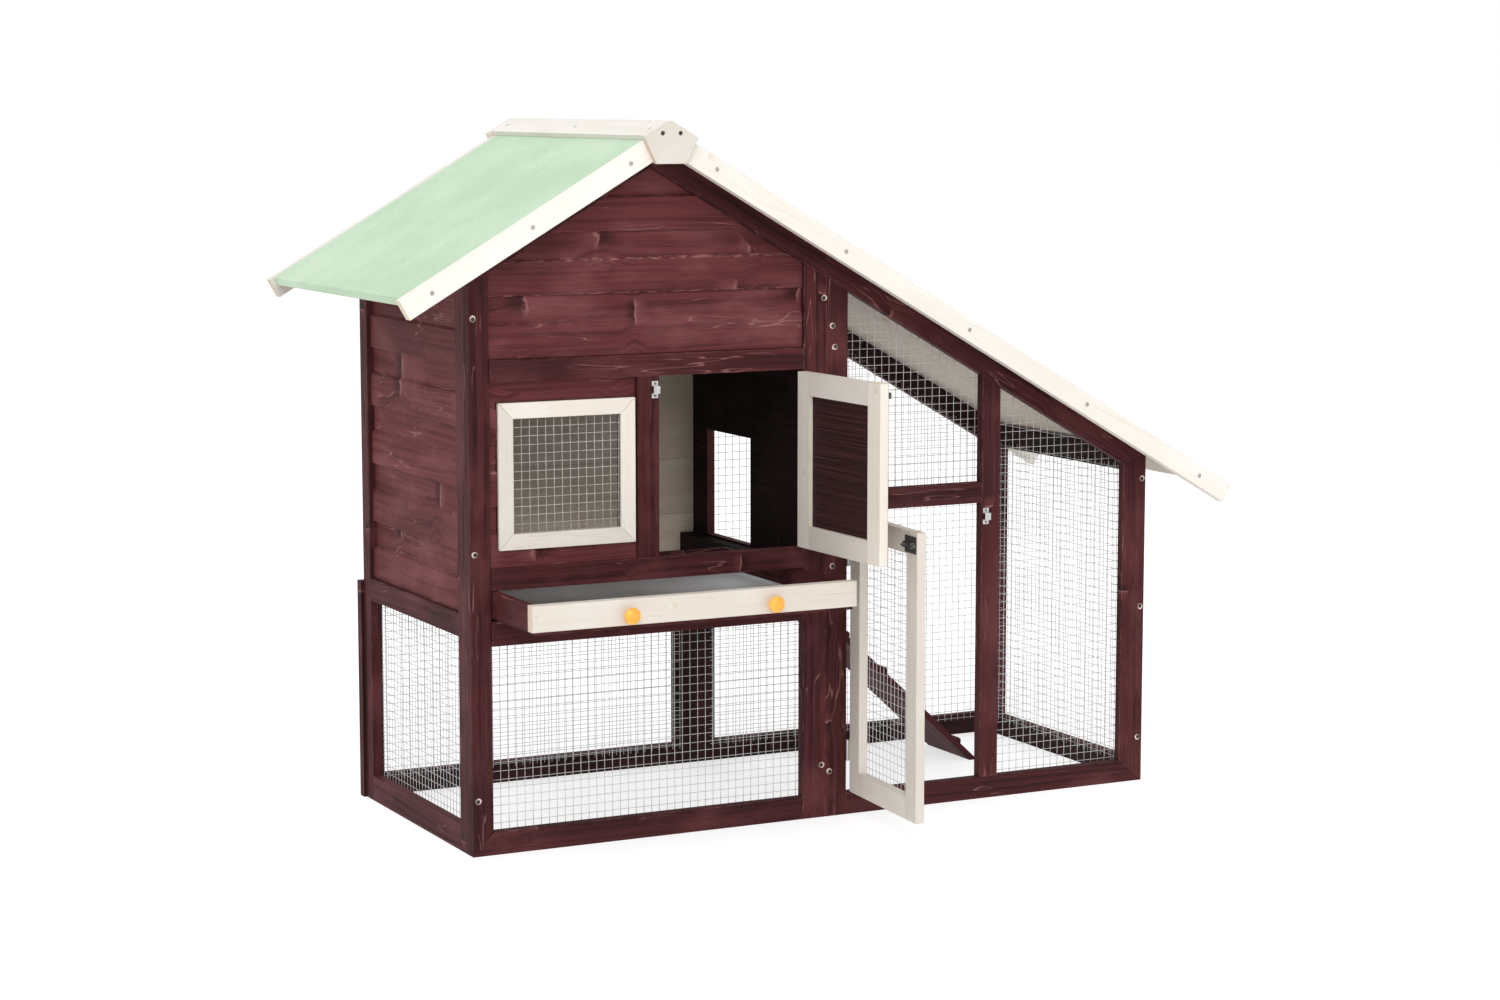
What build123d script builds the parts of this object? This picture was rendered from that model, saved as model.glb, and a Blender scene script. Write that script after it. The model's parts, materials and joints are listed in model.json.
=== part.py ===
from build123d import *

import os
from math import cos, radians, sin, tan

os.makedirs("parts", exist_ok=True)

# Rabbit hutch: a gabled house over a drawer, and a wired run beside it under the long roof slope.
# Millimetres. +X runs along the front from the house to the run, +Y from the front to the back,
# +Z up. The origin is on the ground, at the front face, where the house half meets the run half.

# ---- driving dimensions ----
HALF = 575.0          # width of the house half, and of the run half
DEPTH = 461.0         # front face to back face of the base
TIMBER = 16.0         # thickness of the frame timber
RAIL = 34.0           # face width of the common rail
SIDE_STILE = 33.0     # face width of the house's left stile
MEET_STILE = 38.0     # face width of the house's right stile
RUN_STILE = 36.0      # face width of the run's left stile
END_STILE = 40.0      # face width of the run's right stile
POST = 32.0           # face width of the posts inside the frames
JOINT_GAP = 0.3       # hairline joint between timbers of one frame
BEVEL = 3.0           # how far a beveled stile falls back
BEVEL_WIDTH = 13.0    # width of that bevel
MESH = 1.2            # thickness of a wire mesh panel
MESH_LAP = 9.0        # how far a mesh panel laps over the timber round its opening

# roof
PITCH = radians(30.0)
RIDGE_X = -HALF / 2
APEX = 1046.0         # height at which the two felt surfaces meet
TIP_X = HALF + 123.0  # the barge boards end here on both sides
FELT = 1.6
DECK = 12.0
DECK_LEFT_X = -691.0  # upper edge of the left deck's end
DECK_RIGHT_X = 665.0  # upper edge of the right deck's end
FELT_LIP = 11.0       # felt turned down over the deck's end
BARGE = 31.0          # face width of a barge board
ROOF_FRONT = -59.0    # front face of the front barge boards
ROOF_BACK = 520.0     # back face of the back barge boards
RIDGE_BOARD = 42.0    # width of a ridge board along the slope
RIDGE_BOARD_T = 7.0
CAP_T = 10.0
CAP_SHOULDER_X = 42.0
CAP_FOOT_X = 24.0
CAP_FOOT_DROP = 61.0
RAFTER = 37.2         # rafter depth, square to the slope
UNDER_DECK = FELT + DECK
UNDER_RAFTER = UNDER_DECK + RAFTER

# levels on the house front
LOWER_OPENING_TOP = 306.0
TRAY_RAIL_TOP = 342.0
SILL_BOTTOM = 386.0
SILL_TOP = 418.0
HEAD_BOTTOM = 685.0
HEAD_TOP = 717.0

# horizontal boards
BOARD_PITCH = 89.5
BOARD_SETBACK = 6.0   # thick lower half of a board, behind the frame's face
BOARD_STEP = 4.0      # how much deeper the thin upper half lies
BOARD_THICK_H = 48.0  # height of the thick half
BOARD_SLOPE_H = 4.0   # height of the chamfer between the halves

# left side and walls
SIDE_STILE_Y = 48.0   # front stile of the left side ends here
SIDE_BACK_Y = 415.0   # back stile of the left side starts here
SIDE_BOTTOM = 38.0
SIDE_RAIL_BOTTOM = 316.0
SIDE_RAIL_TOP = 350.0
PANEL_BACK = DEPTH - TIMBER
WALL_T = 12.0
WALL_FRONT = PANEL_BACK - WALL_T - 2
PARTITION_T = 13.0
BACK_LUG = 5.0        # the lower back frame stands out past the side
BACK_WALL_LAP = 14.0  # the back boards reach this far down behind the lower back frame

# doorway through the partition, and the ramp
DOORWAY_Y0 = 226.0
DOORWAY_Y1 = 379.0
DOORWAY_BOTTOM = 389.0
DOORWAY_TOP = 558.0
RAMP_Y0 = 252.0
RAMP_WIDTH = 136.0
RAMP_FOOT_X = 421.0
RAMP_HEAD_X = 1.5
RAMP_HEAD_Z = 388.0
RAMP_T = 10.0
CLEAT_R = 7.0
CLEATS = 6
CLEAT_END = 6.0       # cleats stop this far from the ramp's edges

# window in the house front
WINDOW = (-529.0, -314.0, 443.0, 655.0)
WINDOW_BAR = 23.0
WINDOW_SETBACK = 2.0
WINDOW_BAR_T = 5.0    # thickness of the white bars in front of the mesh
WINDOW_POST = (-311.0, -277.0)

# run front
RUN_POST_X = 273.0
DOOR_HEAD_BOTTOM = 466.0
DOOR_HEAD_TOP = 498.0

# drawer, shown pulled out
DRAWER_OUT = 158.0
DRAWER_X0 = -540.5
DRAWER_X1 = -39.5
DRAWER_BOTTOM = 346.0
DRAWER_BASE_T = 4.0
DRAWER_SIDE_TOP = 385.0
DRAWER_TOP = 387.5    # top edge of the front board
DRAWER_LAP = 6.0      # the front board laps over the frame by this much on each side
DRAWER_LENGTH = 414.0
DRAWER_SIDE = 10.0
TRAY_T = 1.0
TRAY_LIP = 5.0
TRAY_PLAY = 0.5
KNOBS_X = (-399.0, -171.0)
KNOB_Z = 364.6
KNOB_R = 12.3
KNOB_BASE_R = 7.0
KNOB_NECK_R = 5.5
KNOB_NECK_L = 5.0
KNOB_BACK = 8.0       # the round rim starts this far from the board
KNOB_ROUND = 4.0
KNOB_CROWN = 0.8
KNOB_FLAT_R = 1.5
KNOB_L = 19.0
GUIDE_WALL_GAP = 2.5
GUIDE_LEDGE = 12.0
GUIDE_PLAY = 0.4      # height of the drawer over its guides
GUIDE_H = 24.0

# doors, shown open. Distances along a door start at its hinge axis.
DOOR_T = 14.0
DOOR_BAR = 34.0
HINGE_OUT = 3.0       # the hinge axis stands this far in front of the frame
HOUSE_DOOR = {"hand": 1, "pivot_x": -35.5, "open": 92.0, "near": 4.0, "far": 240.0, "z0": 420.0,
              "z1": 683.0, "hinges": (470.0, 633.0), "bolt_z": 665.0, "leaves": "face"}
RUN_DOOR = {"hand": -1, "pivot_x": 37.0, "open": 94.5, "near": 1.0, "far": 235.0, "z0": 36.0,
            "z1": 464.0, "hinges": (100.0, 400.0), "bolt_z": 445.0, "leaves": "edge"}
DOOR_PANEL_T = 4.0
DOOR_PANEL_SETBACK = 6.0

# hinges: the house door's leaves lie on the faces, the run door's in the joint behind the axis
EDGE_LEAF_IN = 0.2    # distance from the axis to the near face of a leaf in the joint
EDGE_LEAF_OUT = 1.0
EDGE_LEAF_DEPTH = 15.0
LEAF_T = 1.2
LEAF_W = 20.0
LEAF_H = 32.0
KNUCKLE_R = 2.5
KNUCKLE_SPLIT = 5.3   # half height of the door's knuckle
KNUCKLE_GAP = 0.3
PIN_R = 1.0
PIN_CLEARANCE = 0.05

# bolts and keepers
BOLT_R = 2.25
BOLT_CLEARANCE = 0.05
BOLT_AXIS = -1.2      # inward distance of the bolt's axis from the hinge axis
BOLT_PLATE = (38.0, 25.0, 1.0)
LOOP_L = 4.0
LOOP_H = 9.0
LOOP_OUT = 8.0
LOOP_FROM_EDGE = (7.0, 31.0)
BOLT_TIP = 1.5
BOLT_LENGTH = 34.0
BOLT_KNOB = 26.5
BOLT_KNOB_R = 2.0
BOLT_KNOB_L = 9.0
KEEPER_W = 10.0
KEEPER_WALL = 1.0
KEEPER_OPENING = 4.5
KEEPER_FLANGE = 12.5
KEEPER_OUT = 8.0
KEEPER_X = {"house": -283.5, "run": 280.0}

# screws in pockets
POCKET_R = 3.3
POCKET_DEPTH = 2.5
SCREW_R = 2.9
SCREW_H = 1.2
FRAME_SCREWS = {
    "house_left_stile": ((-567, 81), (-567, 440), (-567, 776)),
    "house_right_stile": ((-7, 81), (-5, 790)),
    "run_left_stile": ((8, 69), (12, 385), (11, 748), (15, 717)),
    "run_right_stile": ((568, 487), (568, 283), (568, 71)),
}
LEFT_BARGE_SCREWS = (-650.0, -498.5, -347.0)
RIGHT_BARGE_SCREWS = (-211.0, 1.0, 213.0, 425.0, 637.0)
CAP_SCREW_X = 14.0
CAP_SCREW_DROP = 17.6
RIDGE_NAILS_Y = (-34.0, 230.0, 494.0)
NAIL_R = 2.4
NAIL_H = 0.8


# ---- geometry helpers ----
def roof_z(x, drop):
    """Height of the line that lies `drop` below the felt, square to the slope, at x."""
    return APEX - abs(x - RIDGE_X) * tan(PITCH) - drop / cos(PITCH)


def slope_outline(side, top, bottom, end_x):
    """A strip down one roof slope (side -1 left, 1 right), cut square at the eave."""
    thick = bottom - top
    start_x = RIDGE_X + side * JOINT_GAP / 2
    end_z = roof_z(end_x, top)
    return (
        (start_x, roof_z(start_x, top)),
        (end_x, end_z),
        (end_x - side * thick * sin(PITCH), end_z - thick * cos(PITCH)),
        (start_x, roof_z(start_x, bottom)),
    )


def block(x0, x1, y0, y1, z0, z1):
    """A rectangular timber between two corners, added to the open part."""
    with Locations(((x0 + x1) / 2, (y0 + y1) / 2, (z0 + z1) / 2)):
        Box(x1 - x0, y1 - y0, z1 - z0)


def front_prism(outline, y0, y1):
    """A part whose outline is drawn on the front (x, z), from depth y0 to y1."""
    with BuildPart() as prism:
        with BuildSketch(Plane.XZ.offset(-y0)):
            with BuildLine():
                Polyline(*outline, close=True)
            make_face()
        extrude(amount=-(y1 - y0))
    return prism


def front_prisms(outlines, y0, y1):
    """Several outlines in one part, which stay separate solids."""
    with BuildPart() as prisms:
        for outline in outlines:
            with BuildSketch(Plane.XZ.offset(-y0)):
                with BuildLine():
                    Polyline(*outline, close=True)
                make_face()
            extrude(amount=-(y1 - y0))
    return prisms


def cut_pockets(points, y):
    """Screw pockets in a face that looks to the front at depth y, cut from the open part."""
    with Locations(*[(x, y + POCKET_DEPTH / 2, z) for x, z in points]):
        Cylinder(POCKET_R, POCKET_DEPTH, rotation=(90, 0, 0), mode=Mode.SUBTRACT)


def save(piece, label):
    """Label a finished part and write its STEP file."""
    piece.part.label = label
    export_step(piece.part, f"parts/{label}.step")


# ---- house front frame ----
def stile(label, x0, x1, mitre, bevel_side):
    """An upright of the front frame, from the ground to the underside of the rafter."""
    low0 = RAIL if mitre == "left" else 0.0
    low1 = RAIL if mitre == "right" else 0.0
    outline = (
        (x0, low0),
        (x1, low1),
        (x1, roof_z(x1, UNDER_RAFTER)),
        (x0, roof_z(x0, UNDER_RAFTER)),
    )
    with BuildPart() as upright:
        with BuildSketch(Plane.XZ):
            with BuildLine():
                Polyline(*outline, close=True)
            make_face()
        extrude(amount=-TIMBER)
        if bevel_side:
            edge = x1 if bevel_side == "right" else x0
            inner = edge - BEVEL_WIDTH if bevel_side == "right" else edge + BEVEL_WIDTH
            with BuildSketch(Plane.XY):
                with BuildLine():
                    Polyline((inner, 0), (edge, 0), (edge, BEVEL), close=True)
                make_face()
            extrude(amount=APEX, mode=Mode.SUBTRACT)
        cut_pockets(FRAME_SCREWS[label], 0)
    save(upright, label)


HOUSE_IN_X0 = -HALF + SIDE_STILE
HOUSE_IN_X1 = -MEET_STILE

stile("house_left_stile", -HALF, HOUSE_IN_X0, "right", "right")
stile("house_right_stile", HOUSE_IN_X1, 0.0, None, None)

with BuildPart() as house_bottom_rail:
    with BuildSketch(Plane.XZ):
        with BuildLine():
            Polyline((-HALF, 0), (HOUSE_IN_X1, 0), (HOUSE_IN_X1, RAIL), (HOUSE_IN_X0, RAIL), close=True)
        make_face()
    extrude(amount=-TIMBER)
save(house_bottom_rail, "house_bottom_rail")

with BuildPart() as house_tray_rail:
    block(HOUSE_IN_X0, HOUSE_IN_X1, 0, TIMBER, LOWER_OPENING_TOP, TRAY_RAIL_TOP)
save(house_tray_rail, "house_tray_rail")

with BuildPart() as house_cross_rails:
    block(HOUSE_IN_X0, HOUSE_IN_X1, 0, TIMBER, SILL_BOTTOM, SILL_TOP)
    block(HOUSE_IN_X0, HOUSE_IN_X1, 0, TIMBER, HEAD_BOTTOM, HEAD_TOP)
save(house_cross_rails, "house_cross_rails")

with BuildPart() as house_window_post:
    block(WINDOW_POST[0], WINDOW_POST[1], 0, TIMBER, SILL_TOP, HEAD_BOTTOM)
save(house_window_post, "house_window_post")

rafter_outlines = []
for side in (-1, 1):
    ridge = RIDGE_X + side * JOINT_GAP / 2
    foot = RIDGE_X + side * HALF / 2
    rafter_outlines.append((
        (ridge, roof_z(ridge, UNDER_DECK)),
        (foot, roof_z(foot, UNDER_DECK)),
        (foot, roof_z(foot, UNDER_RAFTER)),
        (ridge, roof_z(ridge, UNDER_RAFTER)),
    ))
house_rafters = front_prisms(rafter_outlines, 0, TIMBER)
save(house_rafters, "house_rafters")


# ---- horizontal boards ----
def board_profile(bottom, front, back):
    """Section of one board: a thick lower half, a chamfer and a thin upper half."""
    out = 1 if back > front else -1
    top = bottom + BOARD_PITCH - JOINT_GAP
    return (
        (front + out, bottom),
        (back, bottom),
        (back, top),
        (front + out * BOARD_STEP, top),
        (front + out * BOARD_STEP, bottom + BOARD_THICK_H + BOARD_SLOPE_H),
        (front, bottom + BOARD_THICK_H),
        (front, bottom + 1),
    )


def front_boards(x0, x1, bottom, count, front, back, cut_outline, hole):
    """Boards that run along X, cut to an outline drawn on the front, with an optional hole."""
    with BuildPart() as boards:
        for index in range(count):
            with BuildSketch(Plane.YZ.offset(x0)):
                with BuildLine():
                    Polyline(*board_profile(bottom + index * BOARD_PITCH, front, back), close=True)
                make_face()
            extrude(amount=x1 - x0)
        with BuildSketch(Plane.XZ):
            with BuildLine():
                Polyline(*cut_outline, close=True)
            make_face()
            if hole:
                with Locations(((hole[0] + hole[1]) / 2, (hole[2] + hole[3]) / 2)):
                    Rectangle(hole[1] - hole[0], hole[3] - hole[2], mode=Mode.SUBTRACT)
        extrude(amount=-DEPTH, mode=Mode.INTERSECT)
    return boards


gable_outline = (
    (HOUSE_IN_X0, HEAD_TOP),
    (HOUSE_IN_X1, HEAD_TOP),
    (HOUSE_IN_X1, roof_z(HOUSE_IN_X1, UNDER_RAFTER)),
    (RIDGE_X, roof_z(RIDGE_X, UNDER_RAFTER)),
    (HOUSE_IN_X0, roof_z(HOUSE_IN_X0, UNDER_RAFTER)),
)
gable_boards = front_boards(
    HOUSE_IN_X0, HOUSE_IN_X1, HEAD_TOP, 4, BOARD_SETBACK, TIMBER, gable_outline, None)
save(gable_boards, "gable_boards")

window_wall = (
    (HOUSE_IN_X0, SILL_TOP),
    (WINDOW_POST[0], SILL_TOP),
    (WINDOW_POST[0], HEAD_BOTTOM),
    (HOUSE_IN_X0, HEAD_BOTTOM),
)
window_hole = (WINDOW[0] - 1, WINDOW_POST[0], WINDOW[2] - 1, WINDOW[3] + 1)
window_boards = front_boards(
    HOUSE_IN_X0, WINDOW_POST[0], HEAD_BOTTOM - 3 * BOARD_PITCH, 3, BOARD_SETBACK, TIMBER,
    window_wall, window_hole)
save(window_boards, "window_boards")

# ---- window ----
x0, x1, z0, z1 = WINDOW
bar = WINDOW_BAR
gap = JOINT_GAP
window_bars = (
    ((x0, z0 + gap), (x0 + bar, z0 + bar), (x0 + bar, z1 - bar), (x0, z1 - gap)),
    ((x1, z1 - gap), (x1 - bar, z1 - bar), (x1 - bar, z0 + bar), (x1, z0 + gap)),
    ((x0 + gap, z0), (x1 - gap, z0), (x1 - bar - gap, z0 + bar), (x0 + bar + gap, z0 + bar)),
    ((x0 + bar + gap, z1 - bar), (x1 - bar - gap, z1 - bar), (x1 - gap, z1), (x0 + gap, z1)),
)
mesh_y = WINDOW_SETBACK + WINDOW_BAR_T
window_frame = front_prisms(window_bars, WINDOW_SETBACK, mesh_y)
save(window_frame, "window_frame")

window_mesh = front_prism(
    ((x0 + 8, z0 + 8), (x1 - 8, z0 + 8), (x1 - 8, z1 - 8), (x0 + 8, z1 - 8)), mesh_y, mesh_y + MESH)
save(window_mesh, "window_mesh")

window_backing = front_prisms(window_bars, mesh_y + MESH, TIMBER)
save(window_backing, "window_backing")

house_front_mesh = front_prism(
    (
        (HOUSE_IN_X0 - MESH_LAP, RAIL - MESH_LAP),
        (HOUSE_IN_X1 + MESH_LAP, RAIL - MESH_LAP),
        (HOUSE_IN_X1 + MESH_LAP, LOWER_OPENING_TOP + MESH_LAP),
        (HOUSE_IN_X0 - MESH_LAP, LOWER_OPENING_TOP + MESH_LAP),
    ),
    TIMBER,
    TIMBER + MESH,
)
save(house_front_mesh, "house_front_mesh")

# ---- left side ----
SIDE_TOP = roof_z(-HALF, UNDER_DECK) - 1
with BuildPart() as left_side_frame:
    block(-HALF, -HALF + TIMBER, TIMBER, SIDE_STILE_Y, 0, SIDE_TOP)
    block(-HALF, -HALF + TIMBER, SIDE_BACK_Y, PANEL_BACK, 0, SIDE_TOP)
    for bottom, top in ((0, SIDE_BOTTOM), (SIDE_RAIL_BOTTOM, SIDE_RAIL_TOP)):
        block(-HALF, -HALF + TIMBER, SIDE_STILE_Y + JOINT_GAP, SIDE_BACK_Y - JOINT_GAP, bottom, top)
save(left_side_frame, "left_side_frame")

with BuildPart() as left_side_boards:
    for index in range(6):
        front = -HALF + BOARD_SETBACK
        back = -HALF + TIMBER
        with BuildSketch(Plane.XZ.offset(-(SIDE_STILE_Y + JOINT_GAP))):
            with BuildLine():
                Polyline(*board_profile(SIDE_RAIL_TOP + index * BOARD_PITCH, front, back), close=True)
            make_face()
        extrude(amount=-(SIDE_BACK_Y - SIDE_STILE_Y - 2 * JOINT_GAP))
    with BuildSketch(Plane.XY.offset(SIDE_TOP)):
        Rectangle(4 * HALF, 4 * DEPTH)
    extrude(amount=APEX, mode=Mode.SUBTRACT)
save(left_side_boards, "left_side_boards")

with BuildPart() as left_side_mesh:
    block(-HALF + TIMBER, -HALF + TIMBER + MESH, SIDE_STILE_Y - MESH_LAP, SIDE_BACK_Y + MESH_LAP,
          SIDE_BOTTOM - MESH_LAP, SIDE_RAIL_BOTTOM - 1)
save(left_side_mesh, "left_side_mesh")

# ---- back of the house ----
with BuildPart() as house_back_frame:
    block(-HALF - BACK_LUG, -HALF + 30, PANEL_BACK, DEPTH, 0, TRAY_RAIL_TOP)
    block(-END_STILE, 0, PANEL_BACK, DEPTH, 0, TRAY_RAIL_TOP)
    for bottom, top in ((0, RAIL), (LOWER_OPENING_TOP, TRAY_RAIL_TOP)):
        block(-HALF + 30 + JOINT_GAP, -END_STILE - JOINT_GAP, PANEL_BACK, DEPTH, bottom, top)
save(house_back_frame, "house_back_frame")

house_back_mesh = front_prism(
    (
        (-HALF + 30 - MESH_LAP, RAIL - MESH_LAP),
        (-END_STILE + MESH_LAP, RAIL - MESH_LAP),
        (-END_STILE + MESH_LAP, LOWER_OPENING_TOP + MESH_LAP),
        (-HALF + 30 - MESH_LAP, LOWER_OPENING_TOP + MESH_LAP),
    ),
    PANEL_BACK - MESH,
    PANEL_BACK,
)
save(house_back_mesh, "house_back_mesh")

WALL_X0 = -HALF + TIMBER
BACK_WALL_Z = TRAY_RAIL_TOP - BACK_WALL_LAP
back_wall_outline = (
    (WALL_X0, BACK_WALL_Z),
    (-PARTITION_T, BACK_WALL_Z),
    (-PARTITION_T, roof_z(-PARTITION_T, UNDER_DECK)),
    (RIDGE_X, roof_z(RIDGE_X, UNDER_DECK)),
    (WALL_X0, roof_z(WALL_X0, UNDER_DECK)),
)
house_back_boards = front_boards(
    WALL_X0, -PARTITION_T, BACK_WALL_Z, 8, WALL_FRONT + WALL_T, WALL_FRONT, back_wall_outline, None)
save(house_back_boards, "house_back_boards")

# ---- partition between house and run, with the doorway ----
PARTITION_TOP = roof_z(0, UNDER_DECK)
with BuildPart() as partition_boards:
    block(-PARTITION_T, 0, TIMBER, DOORWAY_Y0, TRAY_RAIL_TOP, PARTITION_TOP)
    block(-PARTITION_T, 0, DOORWAY_Y1, PANEL_BACK, TRAY_RAIL_TOP, PARTITION_TOP)
    block(-PARTITION_T, 0, DOORWAY_Y0 + JOINT_GAP, DOORWAY_Y1 - JOINT_GAP, TRAY_RAIL_TOP, DOORWAY_BOTTOM)
    block(-PARTITION_T, 0, DOORWAY_Y0 + JOINT_GAP, DOORWAY_Y1 - JOINT_GAP, DOORWAY_TOP, PARTITION_TOP)
save(partition_boards, "partition_boards")

# ---- run front frame ----
RUN_IN_X1 = HALF - END_STILE

stile("run_left_stile", 0.0, RUN_STILE, None, None)


def run_upright(label, outline, bevel, screws):
    """An upright of the run's front frame, drawn by its outline on the front."""
    with BuildPart() as upright:
        with BuildSketch(Plane.XZ):
            with BuildLine():
                Polyline(*outline, close=True)
            make_face()
        extrude(amount=-TIMBER)
        if bevel:
            inner = outline[0][0]
            with BuildSketch(Plane.XY):
                with BuildLine():
                    Polyline((inner, 0), (inner + BEVEL_WIDTH, 0), (inner, BEVEL), close=True)
                make_face()
            extrude(amount=APEX, mode=Mode.SUBTRACT)
        if screws:
            cut_pockets(screws, 0)
    save(upright, label)


run_upright(
    "run_door_post",
    (
        (RUN_POST_X, RAIL),
        (RUN_POST_X + POST, RAIL),
        (RUN_POST_X + POST, roof_z(RUN_POST_X + POST, UNDER_RAFTER)),
        (RUN_POST_X, roof_z(RUN_POST_X, UNDER_RAFTER)),
    ),
    False,
    (),
)
run_upright(
    "run_right_stile",
    (
        (RUN_IN_X1, RAIL),
        (HALF, 0),
        (HALF, roof_z(HALF, UNDER_DECK)),
        (RUN_IN_X1, roof_z(RUN_IN_X1, UNDER_RAFTER)),
    ),
    True,
    FRAME_SCREWS["run_right_stile"],
)

run_bottom_rail = front_prism(
    ((RUN_STILE, 0), (HALF, 0), (RUN_IN_X1, RAIL), (RUN_STILE, RAIL)), 0, TIMBER)
save(run_bottom_rail, "run_bottom_rail")

with BuildPart() as run_door_head_rail:
    block(RUN_STILE, RUN_POST_X, 0, TIMBER, DOOR_HEAD_BOTTOM, DOOR_HEAD_TOP)
save(run_door_head_rail, "run_door_head_rail")

run_top_rail = front_prism(
    (
        (0, roof_z(0, UNDER_DECK)),
        (HALF, roof_z(HALF, UNDER_DECK)),
        (RUN_IN_X1, roof_z(RUN_IN_X1, UNDER_RAFTER)),
        (0, roof_z(0, UNDER_RAFTER)),
    ),
    0,
    TIMBER,
)
save(run_top_rail, "run_top_rail")


def run_mesh_outline(x0, x1, bottom):
    """A mesh panel under the sloping rail, lapping the timber round its opening."""
    top = UNDER_RAFTER - MESH_LAP
    return (
        (x0 - MESH_LAP, bottom - MESH_LAP),
        (x1 + MESH_LAP, bottom - MESH_LAP),
        (x1 + MESH_LAP, roof_z(x1 + MESH_LAP, top)),
        (x0 - MESH_LAP, roof_z(x0 - MESH_LAP, top)),
    )


run_front_mesh = front_prisms(
    (
        run_mesh_outline(RUN_STILE, RUN_POST_X, DOOR_HEAD_TOP),
        run_mesh_outline(RUN_POST_X + POST, RUN_IN_X1, RAIL),
    ),
    TIMBER,
    TIMBER + MESH,
)
save(run_front_mesh, "run_front_mesh")

# ---- right end of the run ----
END_TOP = roof_z(HALF, UNDER_DECK) - 1
with BuildPart() as run_end_frame:
    block(HALF - TIMBER, HALF, TIMBER, SIDE_STILE_Y, 0, END_TOP)
    block(HALF - TIMBER, HALF, SIDE_BACK_Y, PANEL_BACK, 0, END_TOP)
    for bottom, top in ((0, RAIL), (END_TOP - RAIL, END_TOP)):
        block(HALF - TIMBER, HALF, SIDE_STILE_Y + JOINT_GAP, SIDE_BACK_Y - JOINT_GAP, bottom, top)
save(run_end_frame, "run_end_frame")

with BuildPart() as run_end_mesh:
    block(HALF - TIMBER - MESH, HALF - TIMBER, SIDE_STILE_Y - MESH_LAP, SIDE_BACK_Y + MESH_LAP,
          RAIL - MESH_LAP, END_TOP - RAIL + MESH_LAP)
save(run_end_mesh, "run_end_mesh")

# ---- back of the run ----
BACK_IN_X0 = POST
BACK_IN_X1 = HALF - POST
run_back_frame = front_prisms(
    (
        (
            (JOINT_GAP, 0),
            (BACK_IN_X0, 0),
            (BACK_IN_X0, roof_z(BACK_IN_X0, UNDER_RAFTER)),
            (JOINT_GAP, roof_z(JOINT_GAP, UNDER_RAFTER)),
        ),
        (
            (BACK_IN_X1, 0),
            (HALF, 0),
            (HALF, roof_z(HALF, UNDER_RAFTER)),
            (BACK_IN_X1, roof_z(BACK_IN_X1, UNDER_RAFTER)),
        ),
        (
            (BACK_IN_X0 + JOINT_GAP, 0),
            (BACK_IN_X1 - JOINT_GAP, 0),
            (BACK_IN_X1 - JOINT_GAP, RAIL),
            (BACK_IN_X0 + JOINT_GAP, RAIL),
        ),
        (
            (JOINT_GAP, roof_z(JOINT_GAP, UNDER_DECK)),
            (HALF, roof_z(HALF, UNDER_DECK)),
            (HALF, roof_z(HALF, UNDER_RAFTER - JOINT_GAP)),
            (JOINT_GAP, roof_z(JOINT_GAP, UNDER_RAFTER - JOINT_GAP)),
        ),
    ),
    PANEL_BACK,
    DEPTH,
)
save(run_back_frame, "run_back_frame")

run_back_mesh = front_prism(
    run_mesh_outline(BACK_IN_X0, BACK_IN_X1, RAIL), PANEL_BACK - MESH, PANEL_BACK)
save(run_back_mesh, "run_back_mesh")

# ---- ramp ----
RAMP_SLOPE = RAMP_HEAD_Z / (RAMP_FOOT_X - RAMP_HEAD_X)
RAMP_COS = 1 / (1 + RAMP_SLOPE ** 2) ** 0.5
RAMP_SIN = RAMP_SLOPE * RAMP_COS
ramp_board = front_prism(
    (
        (RAMP_HEAD_X, RAMP_HEAD_Z),
        (RAMP_FOOT_X, 0),
        (RAMP_FOOT_X - RAMP_T / RAMP_SIN, 0),
        (RAMP_HEAD_X, RAMP_HEAD_Z - RAMP_T / RAMP_COS),
    ),
    RAMP_Y0,
    RAMP_Y0 + RAMP_WIDTH,
)
save(ramp_board, "ramp_board")

with BuildPart() as ramp_cleats:
    for index in range(CLEATS):
        share = (index + 0.5) / CLEATS
        x = RAMP_HEAD_X + share * (RAMP_FOOT_X - RAMP_HEAD_X)
        z = RAMP_HEAD_Z * (1 - share)
        upper = (x - CLEAT_R * RAMP_COS, z + CLEAT_R * RAMP_SIN)
        lower = (x + CLEAT_R * RAMP_COS, z - CLEAT_R * RAMP_SIN)
        crown = (x + CLEAT_R * RAMP_SIN, z + CLEAT_R * RAMP_COS)
        with BuildSketch(Plane.XZ.offset(-(RAMP_Y0 + CLEAT_END))):
            with BuildLine():
                ThreePointArc(upper, crown, lower)
                Line(lower, upper)
            make_face()
        extrude(amount=-(RAMP_WIDTH - 2 * CLEAT_END))
save(ramp_cleats, "ramp_cleats")

# ---- roof ----
left_deck = front_prism(
    slope_outline(-1, FELT, UNDER_DECK, DECK_LEFT_X), ROOF_FRONT + TIMBER, ROOF_BACK - TIMBER)
save(left_deck, "roof_left_deck")
right_deck = front_prism(
    slope_outline(1, FELT, UNDER_DECK, DECK_RIGHT_X), ROOF_FRONT + TIMBER, ROOF_BACK - TIMBER)
save(right_deck, "roof_right_deck")


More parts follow.
